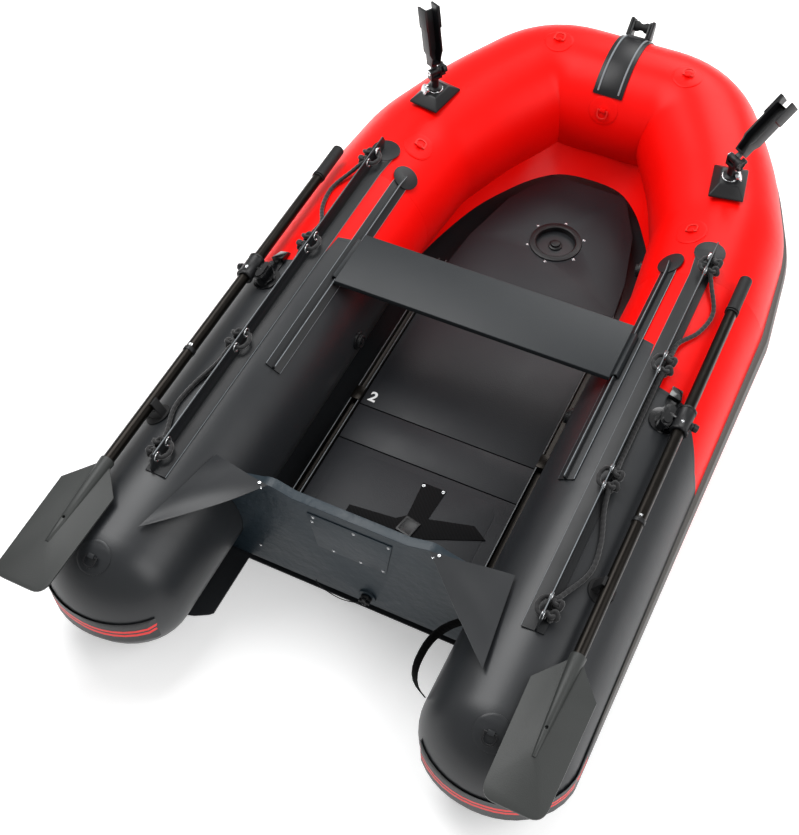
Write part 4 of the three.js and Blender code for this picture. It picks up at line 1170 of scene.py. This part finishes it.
def makeOarDetails():
    back = rotated(90, "X")
    for name, side in sides.items():
        body = f"oar_{name}"

        def onOar(y, lift=0.0):
            return moved((side * oarParts["across"], y, oarParts["height"] + lift - drop))
        joint = makeWasher(f"shaftJoint_{name}", *oarParts["joint"])
        settle(joint, onOar(oarParts["jointAt"]) @ back, body, "nylon")
        ring = makeWasher(f"gripRing_{name}", *oarParts["ring"])
        settle(ring, onOar(oarParts["ringAt"]) @ back, body, "softRubber")
        for label, part in (("collarRivet", "rivet"), ("springButton", "button")):
            place = onOar(oarParts[f"{part}At"], oarParts[f"{part}Lift"])
            copies(makeRivet(label, oarParts[part]), [place], f"{label}_{name}", body, "steel")
        settle(makeWasher(f"bladeEye_{name}", *oarParts["eye"]), onOar(oarParts["eyeAt"]), body, "nylon")
    print("oar details made")


boardMark = {"figure": "2", "place": (-0.249, -0.232, 0.0588), "turn": -3, "size": 0.046, "bolder": 0.0012,
             "ink": 0.0003}


# The floor board's number, laid flat on the front board beside the joint.
def makeMarks():
    clearSelection()
    bpy.ops.object.text_add(location=boardMark["place"], rotation=(0, 0, math.radians(boardMark["turn"])))
    text = bpy.context.object
    text.name = "boardNumber"
    text.data.body = boardMark["figure"]
    text.data.size = boardMark["size"]
    text.data.offset = boardMark["bolder"]
    text.data.extrude = boardMark["ink"]
    bpy.ops.object.convert(target="MESH")
    placePiece(text)
    closeNormals(text)
    dress(text, "hull", "whitePrint")
    print("marks made")


# Floor strap, rear board's panel, bow roller and bow skirt.
rearPanel = {"side": 0.225, "front": -0.400, "rear": -0.745, "corner": 0.045, "top": 0.0593, "under": 0.0575}
strapLine = {"outline": [(0.012, -0.418), (0.080, -0.418), (0.072, -0.516), (0.190, -0.484), (0.234, -0.512),
                         (0.061, -0.588), (0.010, -0.590), (-0.134, -0.590), (-0.134, -0.562),
                         (-0.005, -0.548), (0.018, -0.528)],
             "thick": 0.0025, "under": 0.0593}
buckleShape = {"size": (0.046, 0.050, 0.005), "place": (0.036, -0.560, 0.0635), "turn": -12}
roller = {"bore": 0.0044, "rim": 0.016, "waist": 0.011, "half": 0.0205, "height": 0.034, "foot": 0.006,
          "lean": -40, "cheek": (0.012, 0.052, 0.058), "cheekAt": 0.0335, "ribAt": 0.032, "ribFrom": -46,
          "ribTo": 44}
skirt = {"floor": [(0, 0.842), (0.100, 0.826), (0.172, 0.765), (0.230, 0.680), (0.280, 0.585), (0.326, 0.440),
                   (0.358, 0.290)],
         "tube": [(0, 0.888, 0.165), (0.135, 0.888, 0.160), (0.198, 0.838, 0.155), (0.236, 0.758, 0.150),
                  (0.312, 0.582, 0.135), (0.338, 0.430, 0.125), (0.342, 0.290, 0.110)], "foot": 0.0598,
         "rows": 4, "puff": 0.010}


# A plate with the given outline, its top edges rounded.
def makePlate(name, outline, under, thick, edge):
    clearSelection()
    bpy.ops.mesh.primitive_circle_add(vertices=len(outline), radius=1, fill_type="NGON")
    obj = startPiece(name)
    data = bmesh.from_edit_mesh(obj.data)
    for vert, (x, y) in zip(list(data.verts), outline):
        vert.co = (x, y, under)
    bmesh.update_edit_mesh(obj.data)
    extrude((0, 0, thick))
    closeEdit()
    closeNormals(obj)
    softEdges(obj, edge, 2, 60)
    return obj


def makeFloorPieces():
    corner, side = rearPanel["corner"], rearPanel["side"]
    outline = [(side, rearPanel["rear"]), (-side, rearPanel["rear"])]
    for middle, start in ((-1, 180), (1, 90)):
        for step in range(7):
            turn = math.radians(start - 15 * step)
            outline.append((middle * (side - corner) + corner * math.cos(turn),
                            rearPanel["front"] - corner + corner * math.sin(turn)))
    panel = makePlate("rearPanel", outline, rearPanel["under"], rearPanel["top"] - rearPanel["under"], 0.0008)
    dress(panel, "hull", "floor")
    board = refined("floor_board_rear", "rearBoard", 0.0015)
    dress(board, "hull", "floor", ["floor_board_rear"], 34)
    strap = makePlate("floorStrap", strapLine["outline"], strapLine["under"], strapLine["thick"], 0.0006)
    dress(strap, "hull", "webbing", ["floor_strap"])
    # the box of the slide buckle where the strap's arms meet
    clearSelection()
    bpy.ops.mesh.primitive_cube_add(size=1, scale=buckleShape["size"], location=buckleShape["place"],
                                    rotation=(0, 0, math.radians(buckleShape["turn"])))
    buckle = startPiece("strapBuckle")
    pick(buckle, lambda face: face.normal.z > 0.9)
    bpy.ops.mesh.inset(thickness=0.006)
    extrude((0, 0, -0.0012))
    closeEdit()
    placePiece(buckle)
    softEdges(buckle, 0.0008, 2)
    dress(buckle, "hull", "nylon")
    print("floor pieces made")


def makeBowPieces():
    middle = moved((0, bowAxis[3][1], bowAxis[3][2] - drop))
    bracket = (middle @ rotated(roller["lean"], "X")
               @ moved((0, 0, hull["radius"] + roller["foot"])))
    # the roller: its half section is waisted, then spun round its bore
    clearSelection()
    bpy.ops.mesh.primitive_plane_add(size=1)
    drum = bpy.context.object
    drum.scale = (2 * roller["half"], roller["rim"] - roller["bore"], 1)
    drum.location = (0, (roller["rim"] + roller["bore"]) / 2, 0)
    placePiece(drum)
    startPiece("bowRoller")
    pick(drum, lambda edge: all(vert.co.y > roller["rim"] - 1e-5 for vert in edge.verts), "EDGE")
    bpy.ops.mesh.subdivide(number_cuts=4)
    pick(drum, lambda vert: vert.co.y > roller["rim"] - 1e-5 and abs(vert.co.x) < 0.007, "VERT")
    bpy.ops.transform.translate(value=(0, roller["waist"] - roller["rim"], 0))
    bpy.ops.mesh.select_all(action="SELECT")
    bpy.ops.mesh.delete(type="ONLY_FACE")
    bpy.ops.mesh.select_all(action="SELECT")
    bpy.ops.mesh.spin(steps=48, angle=2 * math.pi, center=(0, 0, 0), axis=(1, 0, 0))
    closeEdit()
    closeNormals(drum)
    placePiece(drum, bracket @ moved((0, 0, roller["height"])))
    dress(drum, "bow_roller", "softRubber", ["bow_roller"])
    # moulded cheeks outside the bracket's plates, narrower towards the pin
    clearSelection()
    bpy.ops.mesh.primitive_cube_add(size=1, scale=roller["cheek"], location=(0, 0, roller["cheek"][2] / 2))
    cheek = bpy.context.object
    placePiece(cheek)
    startPiece("rollerCheek")
    pick(cheek, lambda face: face.normal.z > 0.9)
    bpy.ops.transform.resize(value=(0.85, 0.55, 1))
    closeEdit()
    softEdges(cheek, 0.005, 4)
    copies(cheek, [bracket @ moved((side * roller["cheekAt"], 0, 0)) for side in (-1, 1)], "rollerCheek",
           "hull", "nylon")
    # two light ribs along the bow strip, bent round the tube
    reach = hull["radius"] + 0.0055
    span = math.radians(roller["ribTo"] - roller["ribFrom"])
    line = [Vector((reach * math.cos(span * i / 30), reach * math.sin(span * i / 30), 0)) for i in range(31)]
    turns = [math.pi / 2 + span * i / 30 for i in range(31)]
    start = math.radians(roller["ribFrom"])
    stand = Matrix(((0, 0, -1, 0), (math.sin(start), math.cos(start), 0, 0),
                    (math.cos(start), -math.sin(start), 0, 0), (0, 0, 0, 1)))
    for name, side in sides.items():
        clearSelection()
        bpy.ops.mesh.primitive_circle_add(vertices=10, radius=0.0030, fill_type="NGON",
                                          rotation=(math.pi / 2, 0, 0), location=tuple(line[0]))
        rib = bpy.context.object
        placePiece(rib)
        startPiece(f"bowStripRib_{name}")
        pick(rib, lambda face: True)
        drawAlong(line, turns)
        closeEdit()
        closeNormals(rib)
        placePiece(rib, middle @ moved((side * roller["ribAt"], 0, 0)) @ stand)
        dress(rib, "hull", "edge", smooth=60)
    print("bow fittings made")


# The bow tube's fabric carries on down to the floor inside the bow.
def makeSkirt():
    floorLine = [Vector((x, y, skirt["foot"])) for x, y in skirt["floor"]]
    tubeLine = [Vector((x, y, z - drop)) for x, y, z in skirt["tube"]]
    floorLine = [Vector((-p.x, p.y, p.z)) for p in reversed(floorLine[1:])] + floorLine
    tubeLine = [Vector((-p.x, p.y, p.z)) for p in reversed(tubeLine[1:])] + tubeLine
    low, high = smoothRoute(floorLine, 4), smoothRoute(tubeLine, 4)
    rows = skirt["rows"]
    clearSelection()
    bpy.ops.mesh.primitive_grid_add(x_subdivisions=len(low) - 1, y_subdivisions=rows, size=1)
    obj = startPiece("bowSkirt")
    data = bmesh.from_edit_mesh(obj.data)
    for vert in data.verts:
        i = round((vert.co.x + 0.5) * (len(low) - 1))
        share = vert.co.y + 0.5
        puff = skirt["puff"] * math.sin(math.pi * share)
        spot = low[i].lerp(high[i], share)
        vert.co = spot - Vector((0, 0, puff))
    bmesh.update_edit_mesh(obj.data)
    closeEdit()
    closeNormals(obj)
    applyModifier(obj, "SOLIDIFY", thickness=0.0012, offset=0)
    dress(obj, "hull", "red", smooth=60)
    print("bow skirt made")


makeHardware()
makeRodFittings()
makeOarDetails()
makeMarks()
makeFloorPieces()
makeBowPieces()
makeSkirt()


# Floor and light.
stage = {"size": 30, "tone": "#fafafa", "glow": 0.3, "world": "#ffffff", "worldLight": 0.5,
         "aim": (0, 0, 0.2),
         # lamp: (place, size, watts)
         "lights": {"key": ((-1.6, 0.6, 3.4), 2.4, 120), "fill": ((2.8, -0.6, 2.8), 2.6, 75),
                    "rear": ((0.4, 3.4, 2.6), 2.2, 70)}}


def makeStage():
    clearSelection()
    bpy.ops.mesh.primitive_plane_add(size=stage["size"], location=(0, 0, -drop - 0.0003))
    floor = bpy.context.object
    floor.name = "studioFloor"
    made, tree = newMaterial("paperFloor")
    shader = addNode(tree, "ShaderNodeBsdfPrincipled", {"Base Color": linear(stage["tone"]), "Roughness": 0.9,
                                                        "Emission Color": linear("#ffffff"),
                                                        "Emission Strength": stage["glow"]})
    closeMaterial(tree, shader)
    floor.data.materials.append(made)
    world = bpy.data.worlds.new("studio")
    world.use_nodes = True
    world.node_tree.nodes["Background"].inputs[0].default_value = linear(stage["world"])
    world.node_tree.nodes["Background"].inputs[1].default_value = stage["worldLight"]
    scene.world = world
    for name, (place, size, power) in stage["lights"].items():
        data = bpy.data.lights.new(name, "AREA")
        data.size = size
        data.energy = power
        lamp = bpy.data.objects.new(name, data)
        scene.collection.objects.link(lamp)
        lamp.location = place
        lamp.rotation_euler = (Vector(stage["aim"]) - Vector(place)).to_track_quat("-Z", "Y").to_euler()
    scene.view_settings.view_transform = "Standard"


makeStage()
